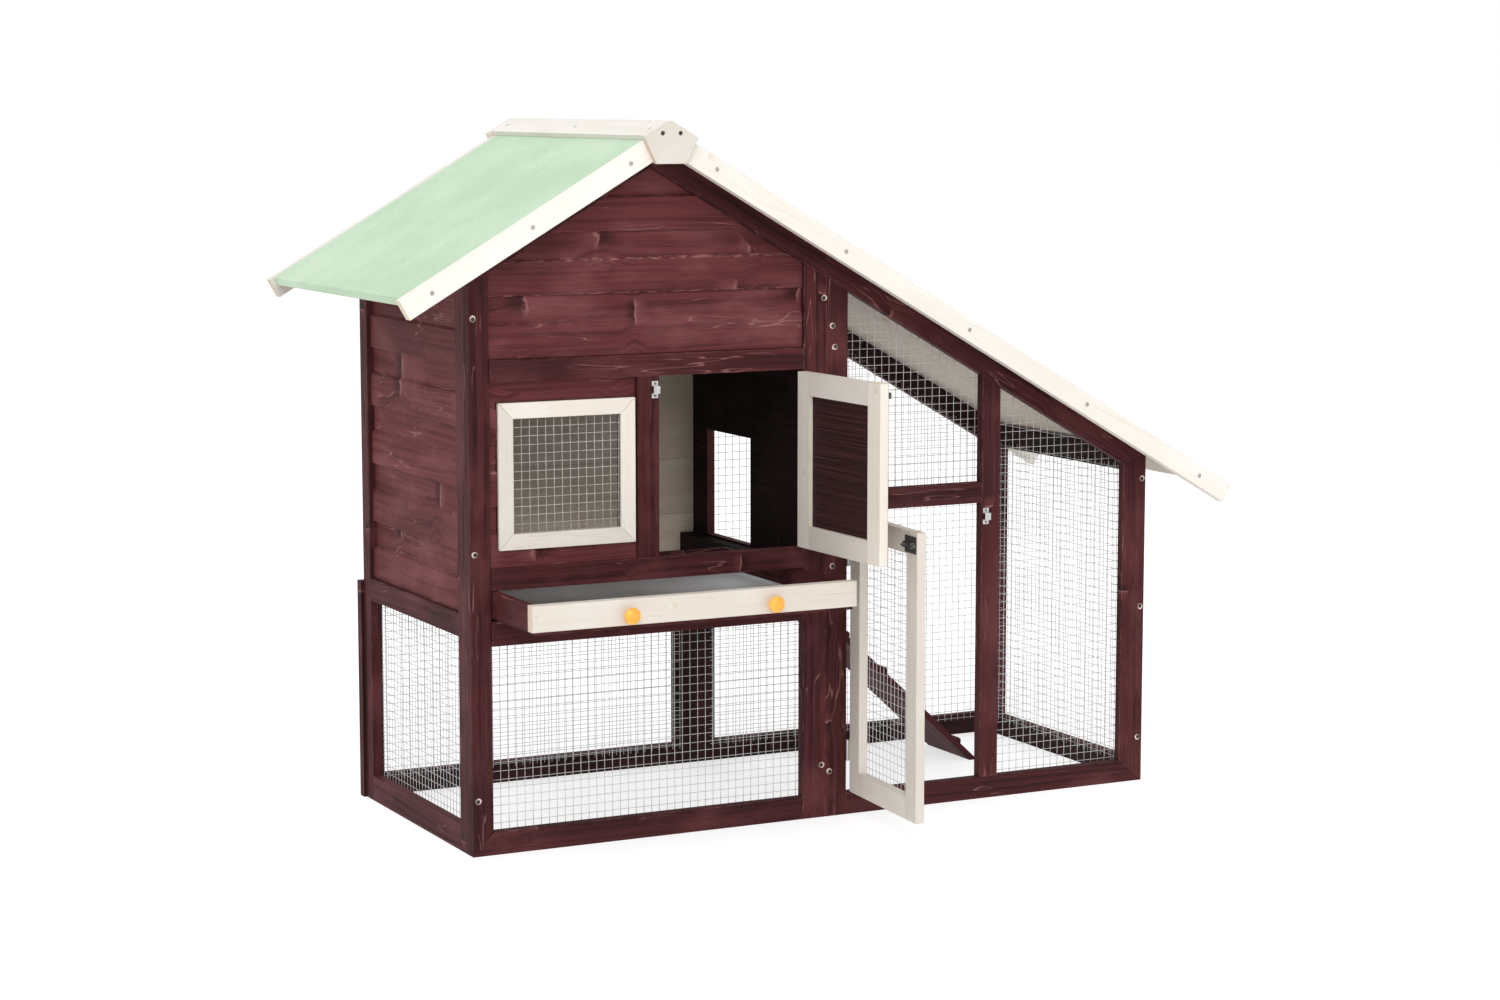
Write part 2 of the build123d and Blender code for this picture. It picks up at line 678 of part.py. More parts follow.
def felt_outline(side, deck_end_x):
    """Felt over one deck, turned down over the deck's end."""
    start_x = RIDGE_X + side * JOINT_GAP / 2
    end_x = deck_end_x + side * FELT * cos(PITCH)
    corner = (deck_end_x, roof_z(deck_end_x, FELT))
    outer = (end_x, roof_z(end_x, 0))
    return (
        (start_x, roof_z(start_x, 0)),
        outer,
        (outer[0] - side * (FELT_LIP + FELT) * sin(PITCH), outer[1] - (FELT_LIP + FELT) * cos(PITCH)),
        (corner[0] - side * FELT_LIP * sin(PITCH), corner[1] - FELT_LIP * cos(PITCH)),
        corner,
        (start_x, roof_z(start_x, FELT)),
    )


roof_felt = front_prisms(
    (felt_outline(-1, DECK_LEFT_X), felt_outline(1, DECK_RIGHT_X)), ROOF_FRONT + TIMBER, ROOF_BACK - TIMBER)
save(roof_felt, "roof_felt")

barge_outlines = [slope_outline(side, 0, BARGE, side * TIP_X) for side in (-1, 1)]


def barge_screw_z(x):
    """The barge screws sit on the middle line of the board."""
    return roof_z(x, BARGE / 2)


barge_screw_points = [(x, barge_screw_z(x)) for x in LEFT_BARGE_SCREWS + RIGHT_BARGE_SCREWS]
with BuildPart() as front_barge_boards:
    for outline in barge_outlines:
        with BuildSketch(Plane.XZ.offset(-ROOF_FRONT)):
            with BuildLine():
                Polyline(*outline, close=True)
            make_face()
        extrude(amount=-TIMBER)
    cut_pockets(barge_screw_points, ROOF_FRONT)
save(front_barge_boards, "front_barge_boards")

with BuildPart() as back_barge_boards:
    for outline in barge_outlines:
        with BuildSketch(Plane.XZ.offset(-(ROOF_BACK - TIMBER))):
            with BuildLine():
                Polyline(*outline, close=True)
            make_face()
        extrude(amount=-TIMBER)
    cut_pockets(barge_screw_points, ROOF_BACK - POCKET_DEPTH)
save(back_barge_boards, "back_barge_boards")

ridge_end = RIDGE_BOARD * cos(PITCH)
ridge_boards = front_prisms(
    [slope_outline(side, -RIDGE_BOARD_T, 0, RIDGE_X + side * ridge_end) for side in (-1, 1)],
    ROOF_FRONT,
    ROOF_BACK,
)
save(ridge_boards, "ridge_boards")

CREST = roof_z(RIDGE_X, -RIDGE_BOARD_T)
cap_outline = (
    (RIDGE_X, CREST),
    (RIDGE_X + CAP_SHOULDER_X, CREST - CAP_SHOULDER_X * tan(PITCH)),
    (RIDGE_X + CAP_FOOT_X, CREST - CAP_FOOT_DROP),
    (RIDGE_X - CAP_FOOT_X, CREST - CAP_FOOT_DROP),
    (RIDGE_X - CAP_SHOULDER_X, CREST - CAP_SHOULDER_X * tan(PITCH)),
)
cap_screw_points = [(RIDGE_X + side * CAP_SCREW_X, CREST - CAP_SCREW_DROP) for side in (-1, 1)]
with BuildPart() as ridge_caps:
    for y in (ROOF_FRONT - CAP_T, ROOF_BACK):
        with BuildSketch(Plane.XZ.offset(-y)):
            with BuildLine():
                Polyline(*cap_outline, close=True)
            make_face()
        extrude(amount=-CAP_T)
    cut_pockets(cap_screw_points, ROOF_FRONT - CAP_T)
    cut_pockets(cap_screw_points, ROOF_BACK + CAP_T - POCKET_DEPTH)
save(ridge_caps, "ridge_caps")


# ---- screws and nails ----
def screw_heads(points, y, side):
    """Screw heads at the bottom of pockets whose mouths are at depth y (side 1 front, -1 back)."""
    middle = y + side * (POCKET_DEPTH - SCREW_H / 2)
    with Locations(*[(x, middle, z) for x, z in points]):
        Cylinder(SCREW_R, SCREW_H, rotation=(90, 0, 0))


with BuildPart() as frame_screws:
    for points in FRAME_SCREWS.values():
        screw_heads(points, 0, 1)
save(frame_screws, "frame_screws")

nail_along = RIDGE_BOARD / 2
with BuildPart() as roof_screws:
    screw_heads(barge_screw_points, ROOF_FRONT, 1)
    screw_heads(barge_screw_points, ROOF_BACK, -1)
    screw_heads(cap_screw_points, ROOF_FRONT - CAP_T, 1)
    screw_heads(cap_screw_points, ROOF_BACK + CAP_T, -1)
    for side in (-1, 1):
        nail_x = RIDGE_X + side * nail_along * cos(PITCH)
        for y in RIDGE_NAILS_Y:
            surface = Plane(
                origin=(nail_x, y, roof_z(nail_x, -RIDGE_BOARD_T)),
                x_dir=(0, 1, 0),
                z_dir=(side * sin(PITCH), 0, cos(PITCH)),
            )
            with BuildSketch(surface):
                Circle(NAIL_R)
            extrude(amount=NAIL_H)
save(roof_screws, "roof_screws")

# ---- drawer ----
DRAWER_FRONT_Y = -DRAWER_OUT
DRAWER_BOX_Y = DRAWER_FRONT_Y + TIMBER
DRAWER_END_Y = DRAWER_FRONT_Y + DRAWER_LENGTH
DRAWER_BOX_Z = DRAWER_BOTTOM + DRAWER_BASE_T

with BuildPart() as drawer_front:
    block(DRAWER_X0 - DRAWER_LAP, DRAWER_X1 + DRAWER_LAP, DRAWER_FRONT_Y, DRAWER_BOX_Y,
          DRAWER_BOX_Z, DRAWER_TOP)
save(drawer_front, "drawer_front")

with BuildPart() as drawer_base:
    block(DRAWER_X0, DRAWER_X1, DRAWER_FRONT_Y + 1, DRAWER_END_Y, DRAWER_BOTTOM, DRAWER_BOX_Z)
save(drawer_base, "drawer_base")

with BuildPart() as drawer_sides:
    block(DRAWER_X0, DRAWER_X0 + DRAWER_SIDE, DRAWER_BOX_Y, DRAWER_END_Y, DRAWER_BOX_Z, DRAWER_SIDE_TOP)
    block(DRAWER_X1 - DRAWER_SIDE, DRAWER_X1, DRAWER_BOX_Y, DRAWER_END_Y, DRAWER_BOX_Z, DRAWER_SIDE_TOP)
    block(DRAWER_X0 + DRAWER_SIDE + JOINT_GAP, DRAWER_X1 - DRAWER_SIDE - JOINT_GAP,
          DRAWER_END_Y - DRAWER_SIDE, DRAWER_END_Y, DRAWER_BOX_Z, DRAWER_SIDE_TOP)
save(drawer_sides, "drawer_sides")

tray_x0 = DRAWER_X0 + DRAWER_SIDE + TRAY_PLAY
tray_x1 = DRAWER_X1 - DRAWER_SIDE - TRAY_PLAY
tray_y0 = DRAWER_BOX_Y + TRAY_PLAY
tray_y1 = DRAWER_END_Y - DRAWER_SIDE - TRAY_PLAY
with BuildPart() as drawer_tray:
    block(tray_x0, tray_x1, tray_y0, tray_y1, DRAWER_BOX_Z, DRAWER_BOX_Z + TRAY_LIP)
    with Locations(((tray_x0 + tray_x1) / 2, (tray_y0 + tray_y1) / 2, DRAWER_BOX_Z + TRAY_T + TRAY_LIP / 2)):
        Box(tray_x1 - tray_x0 - 2 * TRAY_T, tray_y1 - tray_y0 - 2 * TRAY_T, TRAY_LIP, mode=Mode.SUBTRACT)
save(drawer_tray, "drawer_tray")

with BuildPart() as drawer_knobs:
    for knob_x in KNOBS_X:
        knob_plane = Plane(origin=(knob_x, DRAWER_FRONT_Y, KNOB_Z), x_dir=(1, 0, 0), z_dir=(0, 0, 1))
        with BuildSketch(knob_plane):
            with BuildLine():
                Line((0, 0), (KNOB_BASE_R, 0))
                Line((KNOB_BASE_R, 0), (KNOB_NECK_R, -KNOB_NECK_L))
                Line((KNOB_NECK_R, -KNOB_NECK_L), (KNOB_R - KNOB_ROUND, -KNOB_BACK))
                ThreePointArc(
                    (KNOB_R - KNOB_ROUND, -KNOB_BACK),
                    (KNOB_R, -(KNOB_BACK + KNOB_ROUND)),
                    (KNOB_R - KNOB_ROUND, -(KNOB_BACK + 2 * KNOB_ROUND)),
                )
                ThreePointArc(
                    (KNOB_R - KNOB_ROUND, -(KNOB_BACK + 2 * KNOB_ROUND)),
                    ((KNOB_R - KNOB_ROUND) / 2, -(KNOB_L - KNOB_CROWN)),
                    (KNOB_FLAT_R, -KNOB_L),
                )
                Line((KNOB_FLAT_R, -KNOB_L), (0, -KNOB_L))
                Line((0, -KNOB_L), (0, 0))
            make_face()
        revolve(axis=Axis(knob_plane.origin, (0, 1, 0)))
save(drawer_knobs, "drawer_knobs")

# wooden guides that carry and steer the drawer inside the house
guide_top = DRAWER_BOTTOM - GUIDE_PLAY
guide_bottom = guide_top - GUIDE_H
left_wall_x = DRAWER_X0 - GUIDE_WALL_GAP
right_wall_x = DRAWER_X1 + GUIDE_WALL_GAP
drawer_guides = front_prisms(
    (
        (
            (WALL_X0, guide_bottom),
            (DRAWER_X0 + GUIDE_LEDGE, guide_bottom),
            (DRAWER_X0 + GUIDE_LEDGE, guide_top),
            (left_wall_x, guide_top),
            (left_wall_x, SILL_BOTTOM),
            (WALL_X0, SILL_BOTTOM),
        ),
        (
            (DRAWER_X1 - GUIDE_LEDGE, guide_bottom),
            (-PARTITION_T, guide_bottom),
            (-PARTITION_T, SILL_BOTTOM),
            (right_wall_x, SILL_BOTTOM),
            (right_wall_x, guide_top),
            (DRAWER_X1 - GUIDE_LEDGE, guide_top),
        ),
    ),
    TIMBER,
    WALL_FRONT,
)
save(drawer_guides, "drawer_guides")


# ---- doors ----
def door_plane(door):
    """Plane of an opened door: x along the door, y up, z inward; its origin is on the hinge axis."""
    turn = radians(door["open"]) * door["hand"]
    return Plane(
        origin=(door["pivot_x"], -HINGE_OUT, 0),
        x_dir=(-cos(turn), -sin(turn), 0),
        z_dir=(-sin(turn), cos(turn), 0),
    )


def door_block(door, near, far, z0, z1, t0, t1):
    """A box in an opened door: distances from the hinge axis, heights, and inward depths."""
    hand = door["hand"]
    spot = Location((hand * (near + far) / 2, (z0 + z1) / 2, (t0 + t1) / 2))
    with Locations(door_plane(door).location * spot):
        Box(abs(far - near), z1 - z0, t1 - t0)


OUTER = HINGE_OUT
INNER = HINGE_OUT + DOOR_T


def door_frame(door):
    """Two stiles and two rails round a door."""
    with BuildPart() as frame:
        near, far, low, high = door["near"], door["far"], door["z0"], door["z1"]
        door_block(door, near, near + DOOR_BAR, low, high, OUTER, INNER)
        door_block(door, far - DOOR_BAR, far, low, high, OUTER, INNER)
        rail_near = near + DOOR_BAR + JOINT_GAP
        rail_far = far - DOOR_BAR - JOINT_GAP
        door_block(door, rail_near, rail_far, low, low + DOOR_BAR, OUTER, INNER)
        door_block(door, rail_near, rail_far, high - DOOR_BAR, high, OUTER, INNER)
    return frame


def hinge_knuckle(door, z, low, high):
    """One knuckle of a hinge, between two heights from the hinge's middle."""
    with Locations((door["pivot_x"], -HINGE_OUT, z + (low + high) / 2)):
        Cylinder(KNUCKLE_R, high - low)


def door_hinge_leaves(door):
    """The leaves screwed to a door, each with its middle knuckle."""
    half = LEAF_H / 2
    clear = KNUCKLE_R + KNUCKLE_GAP
    with BuildPart() as leaves:
        for z in door["hinges"]:
            if door["leaves"] == "face":
                door_block(door, clear, LEAF_W, z - half, z + half, OUTER - LEAF_T, OUTER)
                door_block(door, 0, LEAF_W / 2, z - KNUCKLE_SPLIT, z + KNUCKLE_SPLIT, OUTER - LEAF_T, OUTER)
            else:
                door_block(door, EDGE_LEAF_IN, EDGE_LEAF_OUT, z - half, z + half, clear, EDGE_LEAF_DEPTH)
                door_block(door, EDGE_LEAF_IN, EDGE_LEAF_OUT, z - KNUCKLE_SPLIT, z + KNUCKLE_SPLIT, 0, clear)
            hinge_knuckle(door, z, -KNUCKLE_SPLIT, KNUCKLE_SPLIT)
            with Locations((door["pivot_x"], -HINGE_OUT, z)):
                Cylinder(PIN_R + PIN_CLEARANCE, 2 * KNUCKLE_SPLIT, mode=Mode.SUBTRACT)
    return leaves


def bolt_case(door):
    """Plate and two loops that carry a door's sliding bolt."""
    far = door["far"]
    z = door["bolt_z"]
    length, height, thick = BOLT_PLATE
    with BuildPart() as case:
        door_block(door, far - 2 - length, far - 2, z - height / 2, z + height / 2, OUTER - thick, OUTER)
        for back in LOOP_FROM_EDGE:
            door_block(door, far - back - LOOP_L / 2, far - back + LOOP_L / 2, z - LOOP_H / 2,
                       z + LOOP_H / 2, OUTER - LOOP_OUT, OUTER)
            spot = Location((door["hand"] * (far - back), z, BOLT_AXIS))
            with Locations(door_plane(door).location * spot):
                Cylinder(BOLT_R + BOLT_CLEARANCE, 2 * LOOP_L, rotation=(0, 90, 0), mode=Mode.SUBTRACT)
    return case


def bolt_rod(door):
    """The sliding bolt with its thumb knob, drawn back."""
    far = door["far"]
    z = door["bolt_z"]
    hand = door["hand"]
    with BuildPart() as rod:
        middle = far - BOLT_TIP - BOLT_LENGTH / 2
        with Locations(door_plane(door).location * Location((hand * middle, z, BOLT_AXIS))):
            Cylinder(BOLT_R, BOLT_LENGTH, rotation=(0, 90, 0))
        knob_middle = BOLT_AXIS - BOLT_KNOB_L / 2
        with Locations(door_plane(door).location * Location((hand * (far - BOLT_KNOB), z, knob_middle))):
            Cylinder(BOLT_KNOB_R, BOLT_KNOB_L)
    return rod


for name, door in (("house_door", HOUSE_DOOR), ("run_door", RUN_DOOR)):
    save(door_frame(door), f"{name}_frame")
    save(door_hinge_leaves(door), f"{name}_hinge_leaves")
    save(bolt_case(door), f"{name}_bolt_case")
    save(bolt_rod(door), f"{name}_bolt")

panel_edge = DOOR_BAR + JOINT_GAP
panel_inner = INNER - DOOR_PANEL_SETBACK
with BuildPart() as house_door_panel:
    door_block(HOUSE_DOOR, HOUSE_DOOR["near"] + panel_edge, HOUSE_DOOR["far"] - panel_edge,
               HOUSE_DOOR["z0"] + panel_edge, HOUSE_DOOR["z1"] - panel_edge,
               panel_inner - DOOR_PANEL_T, panel_inner)
save(house_door_panel, "house_door_panel")

mesh_edge = DOOR_BAR - MESH_LAP
with BuildPart() as run_door_mesh:
    door_block(RUN_DOOR, RUN_DOOR["near"] + mesh_edge, RUN_DOOR["far"] - mesh_edge,
               RUN_DOOR["z0"] + mesh_edge, RUN_DOOR["z1"] - mesh_edge, INNER, INNER + MESH)
save(run_door_mesh, "run_door_mesh")

# hinge leaves screwed to the frame, each with two knuckles and the pin
half = LEAF_H / 2
clear = KNUCKLE_R + KNUCKLE_GAP
knuckle_heights = ((-half, -KNUCKLE_SPLIT - KNUCKLE_GAP), (KNUCKLE_SPLIT + KNUCKLE_GAP, half))
with BuildPart() as frame_hinge_leaves:
    for door in (HOUSE_DOOR, RUN_DOOR):
        axis_x = door["pivot_x"]
        if door["leaves"] == "face":
            leaf = sorted((axis_x + door["hand"] * clear, axis_x + door["hand"] * LEAF_W))
            tab = sorted((axis_x, axis_x + door["hand"] * LEAF_W))
            leaf_y = (-LEAF_T, 0)
            tab_y = leaf_y
        else:
            leaf = sorted((axis_x + door["hand"] * EDGE_LEAF_IN, axis_x + door["hand"] * EDGE_LEAF_OUT))
            tab = leaf
            leaf_y = (clear - HINGE_OUT, EDGE_LEAF_DEPTH - HINGE_OUT)
            tab_y = (-HINGE_OUT, clear - HINGE_OUT)
        for z in door["hinges"]:
            block(*leaf, *leaf_y, z - half, z + half)
            for low, high in knuckle_heights:
                block(*tab, *tab_y, z + low, z + high)
                hinge_knuckle(door, z, low, high)
            with Locations((axis_x, -HINGE_OUT, z)):
                Cylinder(PIN_R, LEAF_H)
save(frame_hinge_leaves, "frame_hinge_leaves")


# ---- keepers for the bolts ----
def keeper_outline(z):
    """Section of a keeper in (y, z): two flanges and a bridge over the bolt."""
    inner = KEEPER_OPENING
    outer = KEEPER_OPENING + KEEPER_WALL
    return (
        (0, z - KEEPER_FLANGE),
        (-KEEPER_WALL, z - KEEPER_FLANGE),
        (-KEEPER_WALL, z - outer),
        (-KEEPER_OUT, z - outer),
        (-KEEPER_OUT, z + outer),
        (-KEEPER_WALL, z + outer),
        (-KEEPER_WALL, z + KEEPER_FLANGE),
        (0, z + KEEPER_FLANGE),
        (0, z + inner),
        (KEEPER_WALL - KEEPER_OUT, z + inner),
        (KEEPER_WALL - KEEPER_OUT, z - inner),
        (0, z - inner),
    )


with BuildPart() as bolt_keepers:
    for name, door in (("house", HOUSE_DOOR), ("run", RUN_DOOR)):
        with BuildSketch(Plane.YZ.offset(KEEPER_X[name] - KEEPER_W / 2)):
            with BuildLine():
                Polyline(*keeper_outline(door["bolt_z"]), close=True)
            make_face()
        extrude(amount=KEEPER_W)
save(bolt_keepers, "bolt_keepers")
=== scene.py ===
"""Rabbit hutch: the looks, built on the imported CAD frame. Metres; +X right, +Y back, +Z up."""

import json
import math
import random

import bpy
from mathutils import Euler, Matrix, Vector, geometry, noise

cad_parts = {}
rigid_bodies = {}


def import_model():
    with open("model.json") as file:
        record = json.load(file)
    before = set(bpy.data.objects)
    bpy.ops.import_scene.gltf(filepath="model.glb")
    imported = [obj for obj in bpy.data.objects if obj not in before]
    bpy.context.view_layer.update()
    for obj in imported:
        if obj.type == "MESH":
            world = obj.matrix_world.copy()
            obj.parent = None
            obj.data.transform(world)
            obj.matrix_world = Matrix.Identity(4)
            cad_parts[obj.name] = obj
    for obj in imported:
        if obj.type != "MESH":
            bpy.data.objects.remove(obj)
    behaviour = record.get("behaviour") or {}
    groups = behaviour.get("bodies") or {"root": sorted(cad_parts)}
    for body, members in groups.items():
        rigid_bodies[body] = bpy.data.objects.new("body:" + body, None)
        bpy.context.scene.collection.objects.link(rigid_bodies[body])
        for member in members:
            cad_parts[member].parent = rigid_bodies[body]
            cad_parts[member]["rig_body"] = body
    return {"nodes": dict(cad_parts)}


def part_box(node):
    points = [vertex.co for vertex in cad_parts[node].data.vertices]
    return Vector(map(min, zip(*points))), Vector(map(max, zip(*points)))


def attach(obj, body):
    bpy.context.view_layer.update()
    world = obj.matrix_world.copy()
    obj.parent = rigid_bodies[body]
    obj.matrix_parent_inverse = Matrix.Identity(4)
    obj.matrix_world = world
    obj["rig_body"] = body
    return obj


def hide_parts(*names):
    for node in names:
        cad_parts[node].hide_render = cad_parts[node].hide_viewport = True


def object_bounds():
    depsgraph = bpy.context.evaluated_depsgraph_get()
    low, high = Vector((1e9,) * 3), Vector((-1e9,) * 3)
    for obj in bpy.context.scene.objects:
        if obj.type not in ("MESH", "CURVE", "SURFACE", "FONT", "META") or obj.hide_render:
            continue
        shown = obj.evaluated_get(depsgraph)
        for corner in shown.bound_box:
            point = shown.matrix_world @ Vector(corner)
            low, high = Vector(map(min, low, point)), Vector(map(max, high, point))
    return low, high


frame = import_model()
cad_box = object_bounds()
nodes = frame["nodes"]
MIDDLE = (cad_box[0] + cad_box[1]) / 2

MM = 0.001
UP = Vector((0, 0, 1))


def axes_across(direction):
    """Two directions square to this one and to each other."""
    lean = UP if abs(direction.z) < 0.7 else Vector((1, 0, 0))
    first = direction.cross(lean).normalized()
    return first, direction.cross(first)


# ---- driving sizes ----
WIRE_PITCH = 12.7 * MM
WIRE_R = 0.43 * MM
WIRE_SIDES = 6
WIRE_STEP = 38 * MM        # spacing of the points along a wire
WIRE_SEED = 1              # with no seed, noise_vector() strays differently on each run
WIRE_DRIFT = 0.45 * MM     # how far the mesh strays from a true grid
WIRE_BULGE = 0.5 * MM      # how far it stands out of its plane between fixings
DRIFT_WAVES = 6            # waves of straying and of bulging in a metre
BULGE_WAVES = 7
WIRE_HOLD = 40 * MM        # how far in from its edge a panel is held to the grid
LEAST_WIRE = 8 * MM        # wires shorter than this are left out

SCREW_R = 2.9 * MM
SCREW_RINGS = 7
SCREW_SPOKES = 24
CROSS_HALF = 0.145         # the cross in a screw's head, in shares of its radius
CROSS_REACH = 0.66
CROSS_DEPTH = 0.31
CENTRE_DEPTH = 0.35
HEAD_HEIGHT = 0.3
SMALL_SCREW_R = 1.9 * MM
SMALL_DOME = 0.6 * MM
PLATE_T = 1.0 * MM         # thickness of the bolts' and keepers' plates
PLATE_INSET = 3.6 * MM
FLANGE_INSET = 3.4 * MM
LEAST_LEAF = 10 * MM       # a leaf narrower than this to the front is seen edge on
POCKET_R = 3.3 * MM        # the pocket that a screw sits in
POCKET_SINK = 1.3 * MM     # how far its head lies below the timber's face
TORN_RIM = 3.0 * MM        # bare wood torn up round a driven screw, at its widest
RIM_LIFT = 0.12 * MM
SAME_PLANE = 0.05 * MM     # corners this near a plane lie on it
LEAF_SCREWS = (0.22, 0.78)  # heights of a hinge leaf's screws, in shares of the leaf

CAMERA_PLACE = (-2.2143, -4.1156, 1.0914)
CAMERA_YAW = math.radians(-26.88)
CAMERA_PITCH = math.radians(90 - 7.38)
CAMERA_LENS = 75.19

# ---- colours, linear ----
BOARD_STAIN = {
    "body": (0.128, 0.031, 0.034),
    "deep": (0.042, 0.009, 0.010),
    "pale": (0.190, 0.062, 0.066),
    "worn": (0.400, 0.190, 0.185),
    "knot_and_painted_shade": (0.018, 0.005, 0.005),
    "end": (0.065, 0.018, 0.018),
}
FRAME_STAIN = {
    "body": (0.070, 0.0155, 0.0175),
    "deep": (0.021, 0.0055, 0.0060),
    "pale": (0.118, 0.034, 0.037),
    "worn": (0.360, 0.165, 0.160),
    "knot_and_painted_shade": (0.016, 0.005, 0.005),
    "end": (0.050, 0.014, 0.014),
}
# Frame stain with painted shade: a darker copy of the frame stain for frame faces that look into the hutch
FRAME_STAIN_PAINTED_SHADE = {
    "body": (0.030, 0.0105, 0.0110),
    "deep": (0.012, 0.0050, 0.0050),
    "pale": (0.048, 0.0180, 0.0185),
    "worn": (0.130, 0.0600, 0.0560),
    "knot_and_painted_shade": (0.009, 0.0040, 0.0040),
    "end": (0.025, 0.0100, 0.0100),
}
# Stain with painted shade: the stain darkened far below its own colour to stand in for the shade inside the
# house
INNER_STAIN_PAINTED_SHADE = {
    "body": (0.014, 0.0075, 0.0075),
    "deep": (0.007, 0.0040, 0.0040),
    "pale": (0.022, 0.0110, 0.0110),
    "worn": (0.060, 0.0300, 0.0280),
    "knot_and_painted_shade": (0.005, 0.0030, 0.0030),
    "end": (0.012, 0.0070, 0.0070),
}
PAINT = {
    "body": (0.705, 0.650, 0.580),
    "deep": (0.630, 0.560, 0.475),
    "pale": (0.745, 0.700, 0.645),
    "worn": (0.530, 0.380, 0.240),
    "knot_and_painted_shade": (0.640, 0.530, 0.405),
    "end": (0.640, 0.520, 0.390),
}
ROOF_PAINT = {
    "body": (0.765, 0.725, 0.665),
    "deep": (0.690, 0.630, 0.550),
    "pale": (0.805, 0.775, 0.725),
    "worn": (0.560, 0.410, 0.270),
    "knot_and_painted_shade": (0.700, 0.610, 0.490),
    "end": (0.620, 0.490, 0.360),
}
DECK = {
    "body": (0.640, 0.570, 0.490),
    "deep": (0.540, 0.450, 0.360),
    "pale": (0.700, 0.640, 0.565),
    "worn": (0.700, 0.620, 0.520),
    "knot_and_painted_shade": (0.330, 0.210, 0.130),
    "end": (0.520, 0.410, 0.300),
}
BARE = {
    "body": (0.500, 0.420, 0.335),
    "deep": (0.400, 0.310, 0.225),
    "pale": (0.580, 0.510, 0.425),
    "worn": (0.610, 0.520, 0.420),
    "knot_and_painted_shade": (0.230, 0.130, 0.070),
    "end": (0.420, 0.320, 0.225),
}


# ---- shader building ----
class Shader:
    """A material's node tree while it is being put together."""

    def __init__(self, name):
        self.material = bpy.data.materials.new(name)
        self.material.use_nodes = True
        self.tree = self.material.node_tree
        self.surface = self.tree.nodes["Principled BSDF"]

    def node(self, kind, **settings):
        made = self.tree.nodes.new("ShaderNode" + kind)
        for key, value in settings.items():
            setattr(made, key, value)
        return made

    def feed(self, socket, value):
        """Links a socket's value, or sets a plain one."""
        if isinstance(value, bpy.types.NodeSocket):
            self.tree.links.new(value, socket)
        elif isinstance(value, tuple) and socket.type == "RGBA":
            socket.default_value = (*value, 1)
        else:
            socket.default_value = value

    def attribute(self, name):
        return self.node("Attribute", attribute_name=name)

    def math(self, operation, a, b=0.0, c=0.0):
        made = self.node("Math", operation=operation)
        for socket, value in zip(made.inputs, (a, b, c)):
            self.feed(socket, value)
        return made.outputs[0]

    def vector(self, operation, a, b):
        made = self.node("VectorMath", operation=operation)
        self.feed(made.inputs[0], a)
        self.feed(made.inputs[1], b)
        return made.outputs[0]

    def split(self, vector):
        made = self.node("SeparateXYZ")
        self.feed(made.inputs[0], vector)
        return made.outputs

    def join(self, x, y, z):
        made = self.node("CombineXYZ")
        for socket, value in zip(made.inputs, (x, y, z)):
            self.feed(socket, value)
        return made.outputs[0]

    def noise(self, vector, scale=1.0, detail=3.0, roughness=0.5):
        made = self.node("TexNoise")
        self.feed(made.inputs["Vector"], vector)
        made.inputs["Scale"].default_value = scale
        made.inputs["Detail"].default_value = detail
        made.inputs["Roughness"].default_value = roughness
        return made.outputs[0]

    def step(self, value, low, high, start=0.0, end=1.0):
        """Goes smoothly from start to end while value goes from low to high."""
        made = self.node("MapRange", interpolation_type="SMOOTHSTEP")
        for socket, given in zip(made.inputs, (value, low, high, start, end)):
            self.feed(socket, given)
        return made.outputs[0]

    def mix(self, share, a, b):
        made = self.node("Mix", data_type="RGBA")
        self.feed(made.inputs[0], share)
        self.feed(made.inputs[6], a)
        self.feed(made.inputs[7], b)
        return made.outputs[2]

    def scaled(self, colour, factor):
        made = self.node("Mix", data_type="RGBA", blend_type="MULTIPLY")
        made.inputs[0].default_value = 1.0
        self.feed(made.inputs[6], colour)
        self.feed(made.inputs[7], factor)
        return made.outputs[2]

    def bump(self, height, distance, strength=1.0, normal=None):
        made = self.node("Bump")
        made.inputs["Strength"].default_value = strength
        made.inputs["Distance"].default_value = distance
        self.feed(made.inputs["Height"], height)
        if normal is not None:
            self.feed(made.inputs["Normal"], normal)
        return made.outputs[0]

    def edges(self, radius):
        """(rounded normal, how near an outside edge is): edges of sawn timber are never sharp."""
        bevel = self.node("Bevel", samples=4)
        bevel.inputs["Radius"].default_value = radius
        flat = self.node("NewGeometry").outputs["True Normal"]
        dot = self.node("VectorMath", operation="DOT_PRODUCT")
        self.feed(dot.inputs[0], bevel.outputs[0])
        self.feed(dot.inputs[1], flat)
        return bevel.outputs[0], self.step(dot.outputs["Value"], 0.995, 0.86)


# ---- timber ----
EDGE_ROUND = 1.6 * MM      # how far a sawn edge is rounded over
KNOTS_ALONG = 5.2          # cells in a metre of board, of which about half hold a knot
KNOTS_ACROSS = 11.0
RING_SWAY = 0.030          # metres that the growth rings wander across a board
RING_PULL = 0.030          # how strongly they part round a knot
SWAY_GRAIN = (2.4, 9.0, 9.0)        # noise cells in a metre, along, through and across the grain
PATCH_GRAIN = (6.0, 20.0, 16.0)
CLOUD_GRAIN = (7.0, 16.0, 16.0)
BLOTCH_GRAIN = (4.3, 13.0, 11.0)
TORN_GRAIN = (60.0, 170.0, 170.0)


